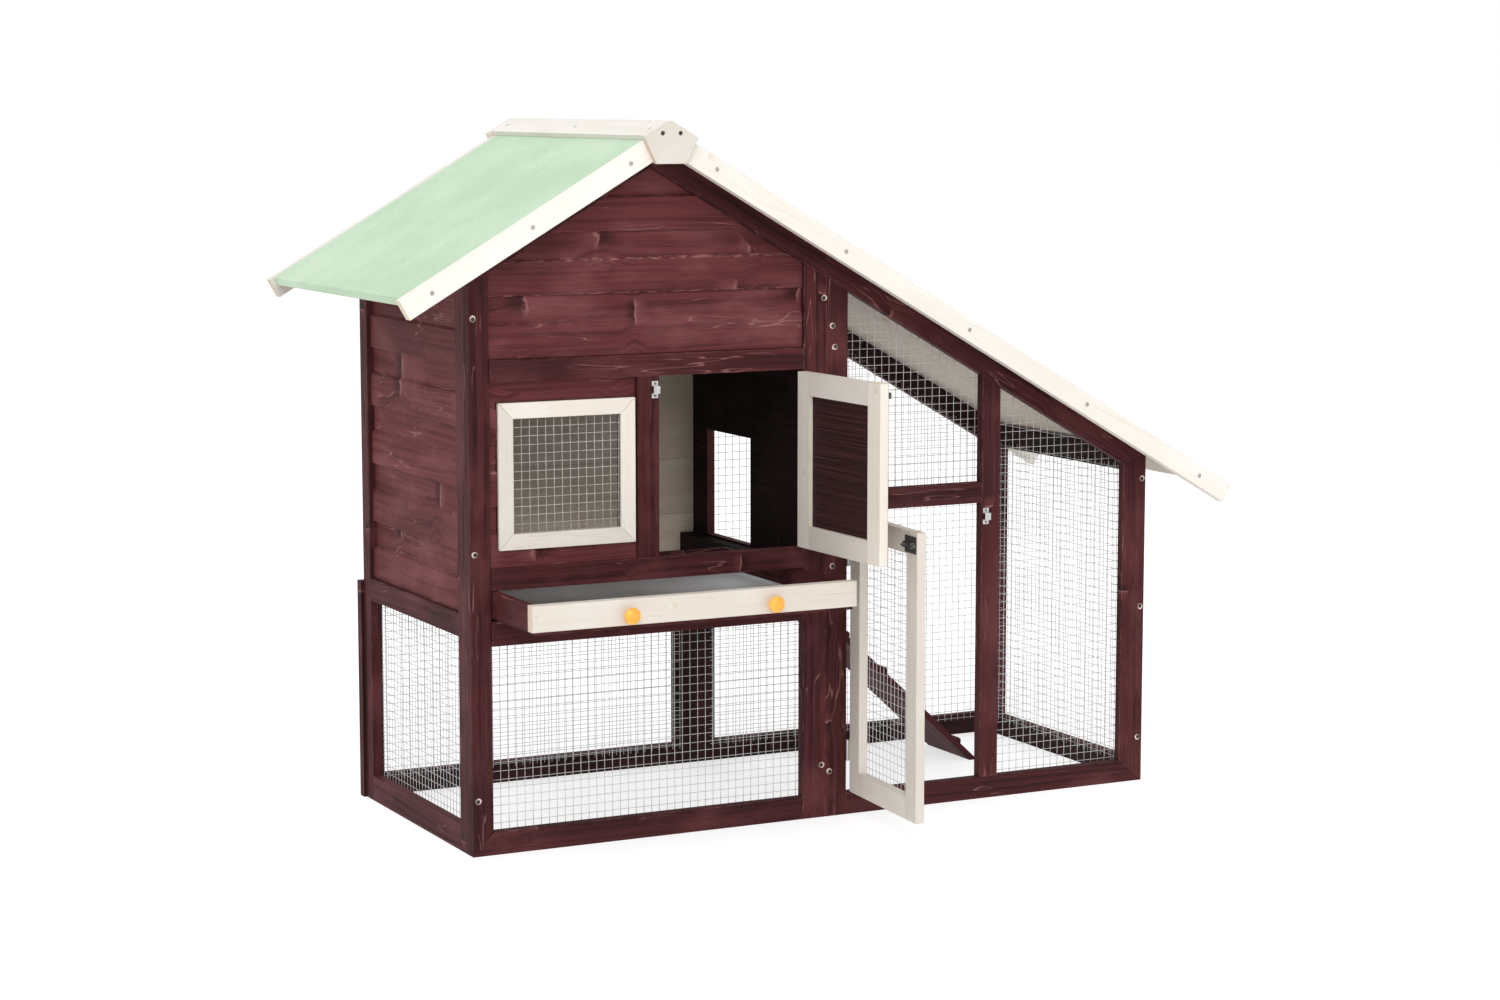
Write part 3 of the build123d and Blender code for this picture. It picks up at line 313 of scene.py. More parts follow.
def knots(s, grain, along, across, size):
    """Masks of the knots: a dark heart that runs on into painted shade on one side, a pale lee line and a
    glow of painted highlight on the other side, and the pull on the rings.
    """
    cells = s.join(s.math("MULTIPLY", along, KNOTS_ALONG), 0.0, s.math("MULTIPLY", across, KNOTS_ACROSS))
    spots = s.node("TexVoronoi")
    s.feed(spots.inputs["Vector"], cells)
    spots.inputs["Scale"].default_value = 1.0
    off_along, _, off_across = s.split(s.vector("SUBTRACT", cells, spots.outputs["Position"]))
    luck, size_luck, _ = s.split(spots.outputs["Color"])

    width = s.math("MULTIPLY", KNOTS_ALONG * size[0] * MM, s.math("ADD", size_luck, 0.5))
    wander = s.noise(grain, scale=85.0, detail=2.0)
    side = s.math("ADD", s.math("DIVIDE", off_along, width), s.math("MULTIPLY_ADD", wander, 1.6, -0.8))
    rise = s.math("DIVIDE", off_across, KNOTS_ACROSS * size[1] * MM)
    reach = s.math("SQRT", s.math("ADD", s.math("POWER", side, 2.0), s.math("POWER", rise, 2.0)))

    present = s.step(luck, 0.56, 0.58)
    height = s.math("MULTIPLY_ADD", size_luck, 0.9, 0.45)
    tall = s.step(s.math("DIVIDE", s.math("ABSOLUTE", rise), height), 1.15, 0.55)
    tall = s.math("MULTIPLY", tall, present)
    # painted light and shade: the dark heart reaches far to one side as painted shade, and the pale lee line
    # and the glow on the other side are painted highlight
    heart_and_painted_shade = s.math("MULTIPLY", s.step(side, 3.4, 0.2), s.step(side, -0.45, 0.05))
    lee = s.step(s.math("ABSOLUTE", s.math("ADD", side, 0.55)), 0.42, 0.0)
    painted_glow = s.math("MULTIPLY", s.step(side, -4.2, -0.8), s.step(side, 0.0, -0.6))
    pull = s.math("MULTIPLY", s.math("MULTIPLY", s.step(reach, 4.5, 0.4), present), off_across)
    heart_and_painted_shade, lee, painted_glow = (s.math("MULTIPLY", mask, tall) for mask in (heart_and_painted_shade, lee, painted_glow))
    return heart_and_painted_shade, lee, painted_glow, pull


def growth_rings(s, grain, pull):
    """Streaks along the board that part round the knots: broad, fine, and thin pale lines."""
    along, through, across = s.split(grain)
    sway = s.noise(s.vector("MULTIPLY", grain, SWAY_GRAIN), detail=2.0)
    ring = s.math("ADD", across, s.math("MULTIPLY", through, 0.45))
    ring = s.math("ADD", ring, s.math("MULTIPLY", sway, RING_SWAY))
    ring = s.math("ADD", ring, s.math("MULTIPLY", pull, RING_PULL))

    def streak(stretch, density, depth, **look):
        place = s.join(s.math("MULTIPLY", along, stretch), s.math("MULTIPLY", ring, density), depth)
        return s.noise(place, **look)

    broad = streak(1.6, 120.0, 0.0, detail=5.0, roughness=0.62)
    fine = streak(9.0, 950.0, through, detail=3.0, roughness=0.6)
    contour = streak(3.6, 42.0, 3.7, detail=2.5)
    line = s.step(s.math("ABSOLUTE", s.math("SUBTRACT", contour, 0.5)), 0.011, 0.002)
    patch = s.step(s.noise(s.vector("MULTIPLY", grain, PATCH_GRAIN), detail=3.0), 0.50, 0.62)
    return broad, fine, s.math("MULTIPLY", line, patch)


def worn_edges(s, grain, tone, wear, least_torn):
    """(rounded normal, scuffs): edges are scuffed in patches, and more on some boards than others."""
    rounded, edge = s.edges(EDGE_ROUND)
    chamfer = s.attribute("chamfer").outputs["Fac"]
    edge = s.math("MAXIMUM", edge, s.math("MULTIPLY", chamfer, 0.85))
    ragged = s.step(s.noise(s.vector("MULTIPLY", grain, TORN_GRAIN), detail=4.0), 0.40, 0.66)
    board_luck = s.math("FRACT", s.math("MULTIPLY", tone, 7.3))
    ragged = s.math("MULTIPLY", ragged, s.step(board_luck, 0.45, 0.75, least_torn, 1.0))
    return rounded, s.math("MULTIPLY", s.math("MULTIPLY", edge, ragged), wear)


def wood(name, tones, streaks, pale_lines, wear, roughness, relief,
         knot_size=(5.5, 15.0), specular=0.5, least_torn=0.18):
    """Sawn softwood under a stain or paint, by the grain coordinates that grain_map() stores."""
    s = Shader(name)
    s.surface.inputs["Specular IOR Level"].default_value = specular
    grain = s.attribute("grain").outputs["Vector"]
    tone = s.attribute("tone").outputs["Fac"]
    end = s.attribute("end").outputs["Fac"]
    along, _, across = s.split(grain)

    knot_and_painted_shade, lee, painted_glow, pull = knots(s, grain, along, across, knot_size)
    broad, fine, line = growth_rings(s, grain, pull)
    rounded, scuffed = worn_edges(s, grain, tone, wear, least_torn)
    cloud = s.noise(s.vector("MULTIPLY", grain, CLOUD_GRAIN), detail=4.0, roughness=0.6)
    blotch = s.noise(s.vector("MULTIPLY", grain, BLOTCH_GRAIN), detail=3.0)

    layers = (
        (s.math("MULTIPLY", s.step(broad, 0.42, 0.68), streaks), "deep"),
        (s.math("MULTIPLY", s.step(cloud, 0.44, 0.72), 0.80), "pale"),
        (s.math("MULTIPLY", s.step(blotch, 0.50, 0.72), streaks * 0.60), "deep"),
        (s.math("MULTIPLY", s.step(fine, 0.50, 0.76), streaks * 0.65), "deep"),
        (s.math("MULTIPLY", line, pale_lines), "worn"),
        # painted highlight and shade round the knots: the glow and the lee lighten one side, and the knot's
        # heart darkens the other
        (s.math("MULTIPLY", painted_glow, 0.65), "pale"),
        (s.math("MULTIPLY", knot_and_painted_shade, 0.72), "knot_and_painted_shade"),
        (s.math("MULTIPLY", lee, 0.45), "worn"),
        (s.math("MULTIPLY", end, 0.75), "end"),
        (scuffed, "worn"),
    )
    colour = tones["body"]
    for share, tint in layers:
        colour = s.mix(share, colour, tones[tint])
    shade = s.math("MULTIPLY_ADD", tone, 0.20, 0.90)
    s.feed(s.surface.inputs["Base Color"], s.scaled(colour, s.join(shade, shade, shade)))

    gloss = s.math("MULTIPLY_ADD", broad, 0.22, roughness - 0.11)
    s.feed(s.surface.inputs["Roughness"], s.math("ADD", gloss, s.math("MULTIPLY", scuffed, 0.2)))
    height = s.math("ADD", s.math("MULTIPLY", broad, 0.9), s.math("MULTIPLY", fine, 0.5))
    height = s.math("ADD", height, s.math("MULTIPLY", line, -0.8))
    height = s.math("ADD", height, s.math("MULTIPLY", knot_and_painted_shade, -0.5))
    height = s.math("SUBTRACT", height, s.math("MULTIPLY", scuffed, 0.8))
    s.feed(s.surface.inputs["Normal"], s.bump(height, relief, normal=rounded))
    return s.material


def sawn_panel(name):
    """Stained panel with the fine level lines that a saw leaves."""
    s = Shader(name)
    grain = s.attribute("grain").outputs["Vector"]
    along, through, across = s.split(grain)
    sway = s.noise(s.vector("MULTIPLY", grain, (9.0, 4.0, 4.0)), detail=2.0)
    level = s.math("MULTIPLY_ADD", sway, 0.0035, across)
    cuts = s.join(s.math("MULTIPLY", along, 2.5), s.math("MULTIPLY", level, 520.0), through)
    bands = s.join(s.math("MULTIPLY", along, 3.0), s.math("MULTIPLY", level, 70.0), through)
    saw = s.noise(cuts, detail=3.0, roughness=0.7)
    broad = s.noise(bands, detail=3.0)
    colour = s.mix(s.step(saw, 0.42, 0.62), (0.022, 0.008, 0.008), (0.060, 0.020, 0.019))
    colour = s.mix(s.step(saw, 0.62, 0.74), colour, (0.130, 0.058, 0.046))
    colour = s.mix(s.math("MULTIPLY", s.step(broad, 0.40, 0.66), 0.5), colour, (0.030, 0.011, 0.011))
    s.feed(s.surface.inputs["Base Color"], colour)
    s.surface.inputs["Roughness"].default_value = 0.66
    s.surface.inputs["Specular IOR Level"].default_value = 0.15
    s.feed(s.surface.inputs["Normal"], s.bump(saw, 0.5 * MM))
    return s.material


def felt_material():
    """Green mineral felt: fine granules, pale bloom and faint rubbed marks."""
    s = Shader("green_felt")
    place = s.node("TexCoord").outputs["Object"]
    granules = s.node("TexVoronoi")
    s.feed(granules.inputs["Vector"], place)
    granules.inputs["Scale"].default_value = 900.0
    grit = granules.outputs["Distance"]
    bloom = s.noise(place, scale=6.5, detail=5.0, roughness=0.62)
    rubbed = s.noise(s.vector("MULTIPLY", place, (9.0, 26.0, 9.0)), detail=4.0, roughness=0.6)
    speck, _, _ = s.split(granules.outputs["Color"])
    colour = s.mix(s.step(bloom, 0.35, 0.68), (0.470, 0.635, 0.450), (0.550, 0.705, 0.530))
    colour = s.mix(s.math("MULTIPLY", s.step(rubbed, 0.60, 0.76), 0.30), colour, (0.420, 0.610, 0.430))
    colour = s.mix(s.math("MULTIPLY", s.step(speck, 0.80, 1.0), 0.45), colour, (0.780, 0.880, 0.740))
    colour = s.mix(s.math("MULTIPLY", s.step(speck, 0.14, 0.0), 0.45), colour, (0.300, 0.480, 0.320))
    s.feed(s.surface.inputs["Base Color"], colour)
    s.surface.inputs["Roughness"].default_value = 0.88
    height = s.math("ADD", grit, s.math("MULTIPLY", bloom, 2.5))
    s.feed(s.surface.inputs["Normal"], s.bump(height, 0.5 * MM))
    return s.material


def zinc(name, colour, dull, roughness, spangle=26.0, metallic=0.85):
    """Galvanised or zinc-plated steel: crystals a few millimetres wide, clouded by handling."""
    s = Shader(name)
    place = s.node("TexCoord").outputs["Object"]
    crystals = s.node("TexVoronoi")
    s.feed(crystals.inputs["Vector"], place)
    crystals.inputs["Scale"].default_value = spangle
    facet, _, _ = s.split(crystals.outputs["Color"])
    cloud = s.noise(place, scale=9.0, detail=5.0, roughness=0.6)
    shade = s.mix(s.math("MULTIPLY", facet, 0.55), colour, dull)
    shade = s.mix(s.math("MULTIPLY", s.step(cloud, 0.45, 0.75), 0.6), shade, dull)
    s.feed(s.surface.inputs["Base Color"], shade)
    s.surface.inputs["Metallic"].default_value = metallic
    gloss = s.math("MULTIPLY_ADD", facet, 0.14, roughness - 0.07)
    s.feed(s.surface.inputs["Roughness"], s.math("MULTIPLY_ADD", cloud, 0.12, gloss))
    s.feed(s.surface.inputs["Normal"], s.bump(cloud, 0.3 * MM, strength=0.5))
    return s.material


def wire_material():
    """Dull zinc on thin wire, a little whiter where it has weathered."""
    s = Shader("zinc_wire")
    place = s.node("TexCoord").outputs["Object"]
    bloom = s.noise(place, scale=60.0, detail=3.0)
    colour = s.mix(s.step(bloom, 0.35, 0.70), (0.46, 0.46, 0.46), (0.58, 0.58, 0.575))
    s.feed(s.surface.inputs["Base Color"], colour)
    s.surface.inputs["Metallic"].default_value = 0.10
    s.feed(s.surface.inputs["Roughness"], s.math("MULTIPLY_ADD", bloom, 0.2, 0.45))
    return s.material


def fibres():
    """Pale softwood fibres torn up by a screw."""
    s = Shader("torn_fibres")
    place = s.node("TexCoord").outputs["Object"]
    strand = s.noise(s.vector("MULTIPLY", place, (900.0, 900.0, 1800.0)), detail=2.0)
    colour = s.mix(s.step(strand, 0.35, 0.68), (0.50, 0.33, 0.28), (0.86, 0.76, 0.68))
    s.feed(s.surface.inputs["Base Color"], colour)
    s.surface.inputs["Roughness"].default_value = 0.85
    s.feed(s.surface.inputs["Normal"], s.bump(strand, 0.3 * MM))
    return s.material


def lacquer():
    """Orange lacquer on the turned knobs."""
    s = Shader("orange_lacquer")
    place = s.node("TexCoord").outputs["Object"]
    cloud = s.noise(place, scale=70.0, detail=3.0)
    colour = s.mix(s.step(cloud, 0.3, 0.75), (0.900, 0.370, 0.025), (0.960, 0.470, 0.045))
    s.feed(s.surface.inputs["Base Color"], colour)
    s.surface.inputs["Roughness"].default_value = 0.30
    s.surface.inputs["Coat Weight"].default_value = 0.5
    s.surface.inputs["Coat Roughness"].default_value = 0.15
    s.feed(s.surface.inputs["Normal"], s.bump(cloud, 0.2 * MM))
    return s.material


board_stain = wood(
    "stained_boards", BOARD_STAIN, 0.62, 0.42, 0.80, 0.66, 0.60 * MM, knot_size=(8.0, 30.0), specular=0.12)
frame_stain = wood(
    "stained_frame", FRAME_STAIN, 0.90, 0.40, 0.85, 0.64, 0.50 * MM,
    knot_size=(5.5, 16.0), specular=0.12, least_torn=0.50)
frame_stain_painted_shade = wood(
    "stained_frame_painted_shade", FRAME_STAIN_PAINTED_SHADE, 0.80, 0.25, 0.55, 0.70, 0.50 * MM, knot_size=(5.5, 16.0), specular=0.10)
inner_stain_painted_shade = wood("stained_inside_painted_shade", INNER_STAIN_PAINTED_SHADE, 0.62, 0.40, 0.50, 0.75, 0.50 * MM, specular=0.08)
painted = wood(
    "cream_paint", PAINT, 0.30, 0.16, 0.45, 0.60, 0.35 * MM, knot_size=(3.0, 4.5), specular=0.3)
roof_paint = wood(
    "white_paint", ROOF_PAINT, 0.30, 0.12, 0.45, 0.60, 0.35 * MM, knot_size=(3.0, 4.5), specular=0.3)
deck_wood = wood("deck_softwood", DECK, 0.50, 0.20, 0.20, 0.72, 0.30 * MM, knot_size=(4.0, 5.5))
bare = wood("bare_softwood", BARE, 0.50, 0.20, 0.20, 0.72, 0.30 * MM, knot_size=(4.0, 5.5))
sawn = sawn_panel("sawn_panel")
felt = felt_material()
sheet_zinc = zinc("galvanised_sheet", (0.80, 0.81, 0.82), (0.66, 0.67, 0.68), 0.42, metallic=0.25)
bright_zinc = zinc("bright_zinc", (0.66, 0.66, 0.65), (0.47, 0.47, 0.46), 0.38, spangle=200.0)
# painted shade: a darker copy of the zinc for the door bolts and their cases, standing in for the shade they
# lie in
dark_zinc = zinc("dark_zinc", (0.16, 0.155, 0.15), (0.07, 0.07, 0.07), 0.40, spangle=200.0)
dark_steel = zinc("screw_steel", (0.13, 0.125, 0.12), (0.05, 0.048, 0.045), 0.45, spangle=400.0)
wire = wire_material()
torn_wood = fibres()
orange = lacquer()


# ---- grain of the CAD timbers ----
ALIKE = 0.995              # cosine above which two normals look the same way
UNLIKE = 0.9               # cosine below which they clearly look another way
FACING = 0.9               # cosine above which a face looks the way asked for
ENDWISE = 0.6              # cosine to the grain above which a face is the end of a board
SLANTED = 0.97             # cosine to both pairs of sides below which a face is a chamfer
MOSTLY = 0.5               # share above which a direction is more along an axis than not
GRAIN_SHIFT = (40, 5, 40)  # metres: no two boards are cut from the same stretch of grain


def solids_of(mesh):
    """Groups a mesh's faces by solid: faces that share a corner's place belong together."""
    parent = {}

    def root(key):
        while parent[key] != key:
            parent[key] = parent[parent[key]]
            key = parent[key]
        return key

    keys = [tuple(round(c, 6) for c in v.co) for v in mesh.vertices]
    for key in keys:
        parent.setdefault(key, key)
    for face in mesh.polygons:
        first = root(keys[face.vertices[0]])
        for corner in face.vertices:
            parent[root(keys[corner])] = first
            first = root(first)
    groups = {}
    for face in mesh.polygons:
        groups.setdefault(root(keys[face.vertices[0]]), []).append(face)
    return [groups[key] for key in sorted(groups)]


def widest_normals(faces):
    """The normals of a solid's two widest pairs of sides."""
    areas = []
    for face in faces:
        for entry in areas:
            if abs(entry[0].dot(face.normal)) > ALIKE:
                entry[1] += face.area
                break
        else:
            areas.append([face.normal.copy(), face.area])
    areas.sort(key=lambda entry: -entry[1])
    first = areas[0][0]
    second = next(normal for normal, _ in areas if abs(normal.dot(first)) < UNLIKE)
    return first, second


def grain_map(node, level=False):
    """Stores each solid's own grain coordinates, tone and end faces, for wood()."""
    mesh = nodes[node].data
    chance = random.Random(node)
    mesh.attributes.new("grain", "FLOAT_VECTOR", "CORNER")
    for name in ("tone", "end", "chamfer"):
        mesh.attributes.new(name, "FLOAT", "FACE")
    grain, tone, end, chamfer = (mesh.attributes[name] for name in ("grain", "tone", "end", "chamfer"))
    for faces in solids_of(mesh):
        first, second = widest_normals(faces)
        axis = (UP.cross(first) if level else first.cross(second)).normalized()
        other = axis.cross(first).normalized()
        shift = Vector([chance.uniform(0, most) for most in GRAIN_SHIFT])
        shade = chance.random()
        for face in faces:
            tone.data[face.index].value = shade
            end.data[face.index].value = float(abs(face.normal.dot(axis)) > ENDWISE)
            slant = max(abs(face.normal.dot(first)), abs(face.normal.dot(other)))
            chamfer.data[face.index].value = float(slant < SLANTED and end.data[face.index].value == 0)
            for loop in face.loop_indices:
                place = mesh.vertices[mesh.loops[loop].vertex_index].co
                spot = Vector((place.dot(axis), place.dot(first), place.dot(other)))
                grain.data[loop].vector = spot + shift


def clad(material, *names, level=False):
    """Gives CAD timbers a material and their grain."""
    for name in names:
        grain_map(name, level)
        finish(material, name)


def finish(material, *names):
    """Gives CAD pieces a material."""
    for name in names:
        nodes[name].data.materials.clear()
        nodes[name].data.materials.append(material)


clad(
    frame_stain,
    "house_left_stile", "house_right_stile", "house_bottom_rail", "house_tray_rail", "house_cross_rails",
    "window_backing", "house_window_post", "house_rafters", "left_side_frame", "house_back_frame",
    "run_left_stile", "run_door_post", "run_right_stile", "run_bottom_rail", "run_door_head_rail",
    "run_top_rail", "run_end_frame", "run_back_frame", "ramp_board", "ramp_cleats", "drawer_base",
    "drawer_sides",
)
clad(
    board_stain,
    "gable_boards", "window_boards", "left_side_boards", "house_back_boards", "partition_boards",
    level=True,
)
clad(
    painted,
    "window_frame", "run_door_frame", "house_door_frame", "drawer_front", "ridge_caps",
)
clad(roof_paint, "front_barge_boards", "back_barge_boards", "ridge_boards")
finish(felt, "roof_felt")
clad(deck_wood, "roof_left_deck", "roof_right_deck")
# painted shade: the drawer guides get the darkened inside stain in place of the shade they lie in
clad(inner_stain_painted_shade, "drawer_guides")
clad(sawn, "house_door_panel", level=True)
finish(orange, "drawer_knobs")
finish(sheet_zinc, "drawer_tray")
finish(bright_zinc, "bolt_keepers", "frame_hinge_leaves", "house_door_hinge_leaves", "run_door_hinge_leaves")
# the bolts and their cases get the zinc copy that is darkened with painted shade
finish(dark_zinc, "house_door_bolt_case", "run_door_bolt_case", "house_door_bolt", "run_door_bolt")


def face_side(node, material, normal):
    """A second material on the faces of a wall that look one way."""
    mesh = nodes[node].data
    mesh.materials.append(material)
    for face in mesh.polygons:
        if face.normal.dot(normal) > FACING:
            face.material_index = 1


face_side("house_back_boards", bare, Vector((0, -1, 0)))
# painted shade: the inside faces of the partition and gable get the much darker inside stain in place of the
# shade inside the house
face_side("partition_boards", inner_stain_painted_shade, Vector((-1, 0, 0)))
face_side("gable_boards", inner_stain_painted_shade, Vector((0, 1, 0)))
# painted shade: the inward faces of the back, end and left side frames get the darker copy of the frame stain
face_side("house_back_frame", frame_stain_painted_shade, Vector((0, -1, 0)))
face_side("run_back_frame", frame_stain_painted_shade, Vector((0, -1, 0)))
face_side("run_end_frame", frame_stain_painted_shade, Vector((-1, 0, 0)))
face_side("left_side_frame", frame_stain_painted_shade, Vector((1, 0, 0)))


# ---- new pieces ----
def piece(name, verts, faces, material, body, slot, smooth=False):
    """A new mesh object that rides on a CAD body."""
    mesh = bpy.data.meshes.new(name)
    mesh.from_pydata(verts, [], faces)
    mesh.materials.append(material)
    if smooth:
        mesh.shade_smooth()
    mesh.update()
    made = bpy.data.objects.new(name, mesh)
    bpy.context.scene.collection.objects.link(made)
    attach(made, body)
    return made


def tube(verts, faces, points, radius, sides=WIRE_SIDES):
    """Adds a round wire along a line of points."""
    start = len(verts)
    for index, point in enumerate(points):
        ahead = (points[min(index + 1, len(points) - 1)] - points[max(index - 1, 0)]).normalized()
        first, second = axes_across(ahead)
        for side in range(sides):
            turn = 2 * math.pi * side / sides
            verts.append(point + radius * (math.cos(turn) * first + math.sin(turn) * second))
    for ring in range(len(points) - 1):
        for side in range(sides):
            a = start + ring * sides + side
            b = start + ring * sides + (side + 1) % sides
            faces.append((a, b, b + sides, a + sides))
    faces.append(tuple(start + side for side in reversed(range(sides))))
    last = start + (len(points) - 1) * sides
    faces.append(tuple(last + side for side in range(sides)))


def span_inside(outline, axis, value):
    """Where the line at `value` on the other axis enters and leaves a convex outline."""
    cuts = []
    for a, b in zip(outline, outline[1:] + outline[:1]):
        low, high = sorted((a[1 - axis], b[1 - axis]))
        if low <= value <= high and high - low > 1e-9:
            share = (value - a[1 - axis]) / (b[1 - axis] - a[1 - axis])
            cuts.append(a[axis] + share * (b[axis] - a[axis]))
    return (min(cuts), max(cuts)) if len(cuts) > 1 else None


def wire_panel(node):
    """Welded wire mesh in place of a CAD mesh sheet, solid by solid."""
    cad = nodes[node]
    verts = []
    faces = []
    for number, sheet in enumerate(solids_of(cad.data)):
        normal, _ = widest_normals(sheet)
        level = UP.cross(normal).normalized()
        corners = {tuple(cad.data.vertices[v].co) for face in sheet for v in face.vertices}
        corners = [Vector(c) for c in sorted(corners)]
        depth = sum(c.dot(normal) for c in corners) / len(corners)
        flat = [Vector((c.dot(level), c.z)) for c in corners]
        outline = [tuple(flat[i]) for i in geometry.convex_hull_2d(flat)]
        seed = Vector((3.1 * number + len(node), 7.7, 1.3))
        low = [min(p[k] for p in outline) for k in (0, 1)]
        high = [max(p[k] for p in outline) for k in (0, 1)]

        def settled(u, v, lift):
            """A point of the mesh, strayed and bulged as the whole panel is there."""
            drift = noise.noise_vector(Vector((u * DRIFT_WAVES, v * DRIFT_WAVES, 0)) + seed)
            free = min(u - low[0], high[0] - u, v - low[1], high[1] - v)
            hold = min(max(free / WIRE_HOLD, 0), 1)
            bulge = noise.noise(Vector((u * BULGE_WAVES, v * BULGE_WAVES, 9)) + seed)
            out = lift + WIRE_BULGE * hold * bulge
            return (
                level * (u + WIRE_DRIFT * hold * drift.x)
                + UP * (v + WIRE_DRIFT * hold * drift.y)
                + normal * (depth + out)
            )

        for axis in (0, 1):
            lift = WIRE_R * (1 if axis else -1)
            count = int((high[1 - axis] - low[1 - axis]) / WIRE_PITCH)
            first = (low[1 - axis] + high[1 - axis] - count * WIRE_PITCH) / 2
            for index in range(count + 1):
                value = first + index * WIRE_PITCH
                span = span_inside(outline, axis, value)
                if span is None or span[1] - span[0] < LEAST_WIRE:
                    continue
                steps = max(2, round((span[1] - span[0]) / WIRE_STEP))
                run = [span[0] + (span[1] - span[0]) * k / steps for k in range(steps + 1)]
                points = [settled(*((t, value) if axis == 0 else (value, t)), lift) for t in run]
                tube(verts, faces, points, WIRE_R)
    made = piece(node + "_wires", verts, faces, wire, cad["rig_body"], "mesh", smooth=True)
    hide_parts(node)


noise.seed_set(WIRE_SEED)
for mesh_node in (
    "house_front_mesh", "left_side_mesh", "house_back_mesh", "window_mesh", "run_front_mesh",
    "run_end_mesh", "run_back_mesh", "run_door_mesh",
):
    wire_panel(mesh_node)


# ---- screws ----
def screw_head(verts, faces, place, out, turn, radius, dome=0.0):
    """A cross-head screw seen end on, its rim at `place`, looking along `out`."""
    first, second = axes_across(out)
    start = len(verts)
    verts.append(place + out * (dome - CENTRE_DEPTH * radius))
    for ring in range(1, SCREW_RINGS + 1):
        reach = radius * ring / SCREW_RINGS
        for spoke in range(SCREW_SPOKES):
            angle = 2 * math.pi * spoke / SCREW_SPOKES
            x, y = reach * math.cos(angle - turn), reach * math.sin(angle - turn)
            in_cross = min(abs(x), abs(y)) < CROSS_HALF * radius and reach < CROSS_REACH * radius
            height = dome * (1 - (ring / SCREW_RINGS) ** 2) - (CROSS_DEPTH * radius if in_cross else 0)
            ray = math.cos(angle) * first + math.sin(angle) * second
            verts.append(place + reach * ray + out * height)
    rim = start + 1 + (SCREW_RINGS - 1) * SCREW_SPOKES
    for spoke in range(SCREW_SPOKES):
        verts.append(verts[rim + spoke] - out * HEAD_HEIGHT * radius)
    for spoke in range(SCREW_SPOKES):
        after = (spoke + 1) % SCREW_SPOKES
        faces.append((start, start + 1 + spoke, start + 1 + after))
        for ring in range(SCREW_RINGS):
            a = start + 1 + ring * SCREW_SPOKES
            faces.append((a + spoke, a + SCREW_SPOKES + spoke, a + SCREW_SPOKES + after, a + after))


def torn_rim(verts, faces, place, out, chance):
    """Bare fibres round a screw's pocket: a ragged ring, wide on one side."""
    first, second = axes_across(out)
    widest = chance.uniform(0, 2 * math.pi)
    start = len(verts)
    for spoke in range(SCREW_SPOKES):
        angle = 2 * math.pi * spoke / SCREW_SPOKES
        lee = 0.5 + 0.5 * math.cos(angle - widest)
        width = TORN_RIM * (0.15 + 0.75 * lee ** 2) * chance.uniform(0.7, 1.1)
        ray = math.cos(angle) * first + math.sin(angle) * second
        verts.append(place + ray * POCKET_R + out * RIM_LIFT)
        verts.append(place + ray * (POCKET_R + width) + out * RIM_LIFT * 0.5)
        verts.append(place + ray * (POCKET_R + width) - out * RIM_LIFT)
    for spoke in range(SCREW_SPOKES):
        a = start + 3 * spoke
        b = start + 3 * ((spoke + 1) % SCREW_SPOKES)
        faces.append((a, a + 1, b + 1, b))
        faces.append((a + 1, a + 2, b + 2, b + 1))


def screws_for(node, metal, torn):
    """Cross-head screws in place of a CAD node's plain discs, and any wood torn round them."""
    cad = nodes[node]
    cap_low, cap_high = (Vector(corner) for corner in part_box("ridge_caps"))
    chance = random.Random(node)
    heads = ([], [])
    cap_heads = ([], [])
    rims = ([], [])
    for disc in solids_of(cad.data):
        out, _ = widest_normals(disc)
        corners = [cad.data.vertices[v].co for face in disc for v in face.vertices]
        centre = Vector([(min(c[k] for c in corners) + max(c[k] for c in corners)) / 2 for k in range(3)])
        if abs(out.z) > MOSTLY:
            out = out * (1 if out.z > 0 else -1)
        else:
            out = Vector((0, -1 if centre.y < MIDDLE.y else 1, 0))
        half = max(c.dot(out) for c in corners) - centre.dot(out)
        on_cap = cap_low.z < centre.z and cap_low.x < centre.x < cap_high.x
        batch = cap_heads if on_cap and abs(out.y) > MOSTLY else heads
        screw_head(*batch, centre + out * half, out, chance.uniform(0, math.pi), SCREW_R)
        torn_rim(*rims, centre + out * (half + POCKET_SINK), out, chance)
    made = piece(node + "_heads", *heads, metal, cad["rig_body"], "dark_zinc")
    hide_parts(node)
    if cap_heads[0]:
        piece(node + "_cap_heads", *cap_heads, dark_steel, cad["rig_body"], "dark_zinc")
    if torn:
        piece(node + "_torn_wood", *rims, torn_wood, cad["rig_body"], "bare_wood")


def small_screws(node, spots_of):
    """Small dome-headed screws in a CAD node's plates; spots_of gives (place, way out) for each."""
    cad = nodes[node]
    chance = random.Random(node)
    heads = ([], [])
    for plate in solids_of(cad.data):
        corners = [cad.data.vertices[v].co for face in plate for v in face.vertices]
        for place, out in spots_of(plate, corners):
            screw_head(*heads, place, out, chance.uniform(0, math.pi), SMALL_SCREW_R, SMALL_DOME)
    piece(node + "_screws", *heads, dark_steel, cad["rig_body"], "dark_zinc")


def keeper_spots(_, corners):
    """One screw in each flange of a keeper."""
    low = Vector([min(c[k] for c in corners) for k in range(3)])
    high = Vector([max(c[k] for c in corners) for k in range(3)])
    middle = (low + high) / 2
    for side in (-1, 1):
        z = middle.z + side * (high.z - middle.z - FLANGE_INSET)
        yield Vector((middle.x, high.y - PLATE_T, z)), Vector((0, -1, 0))


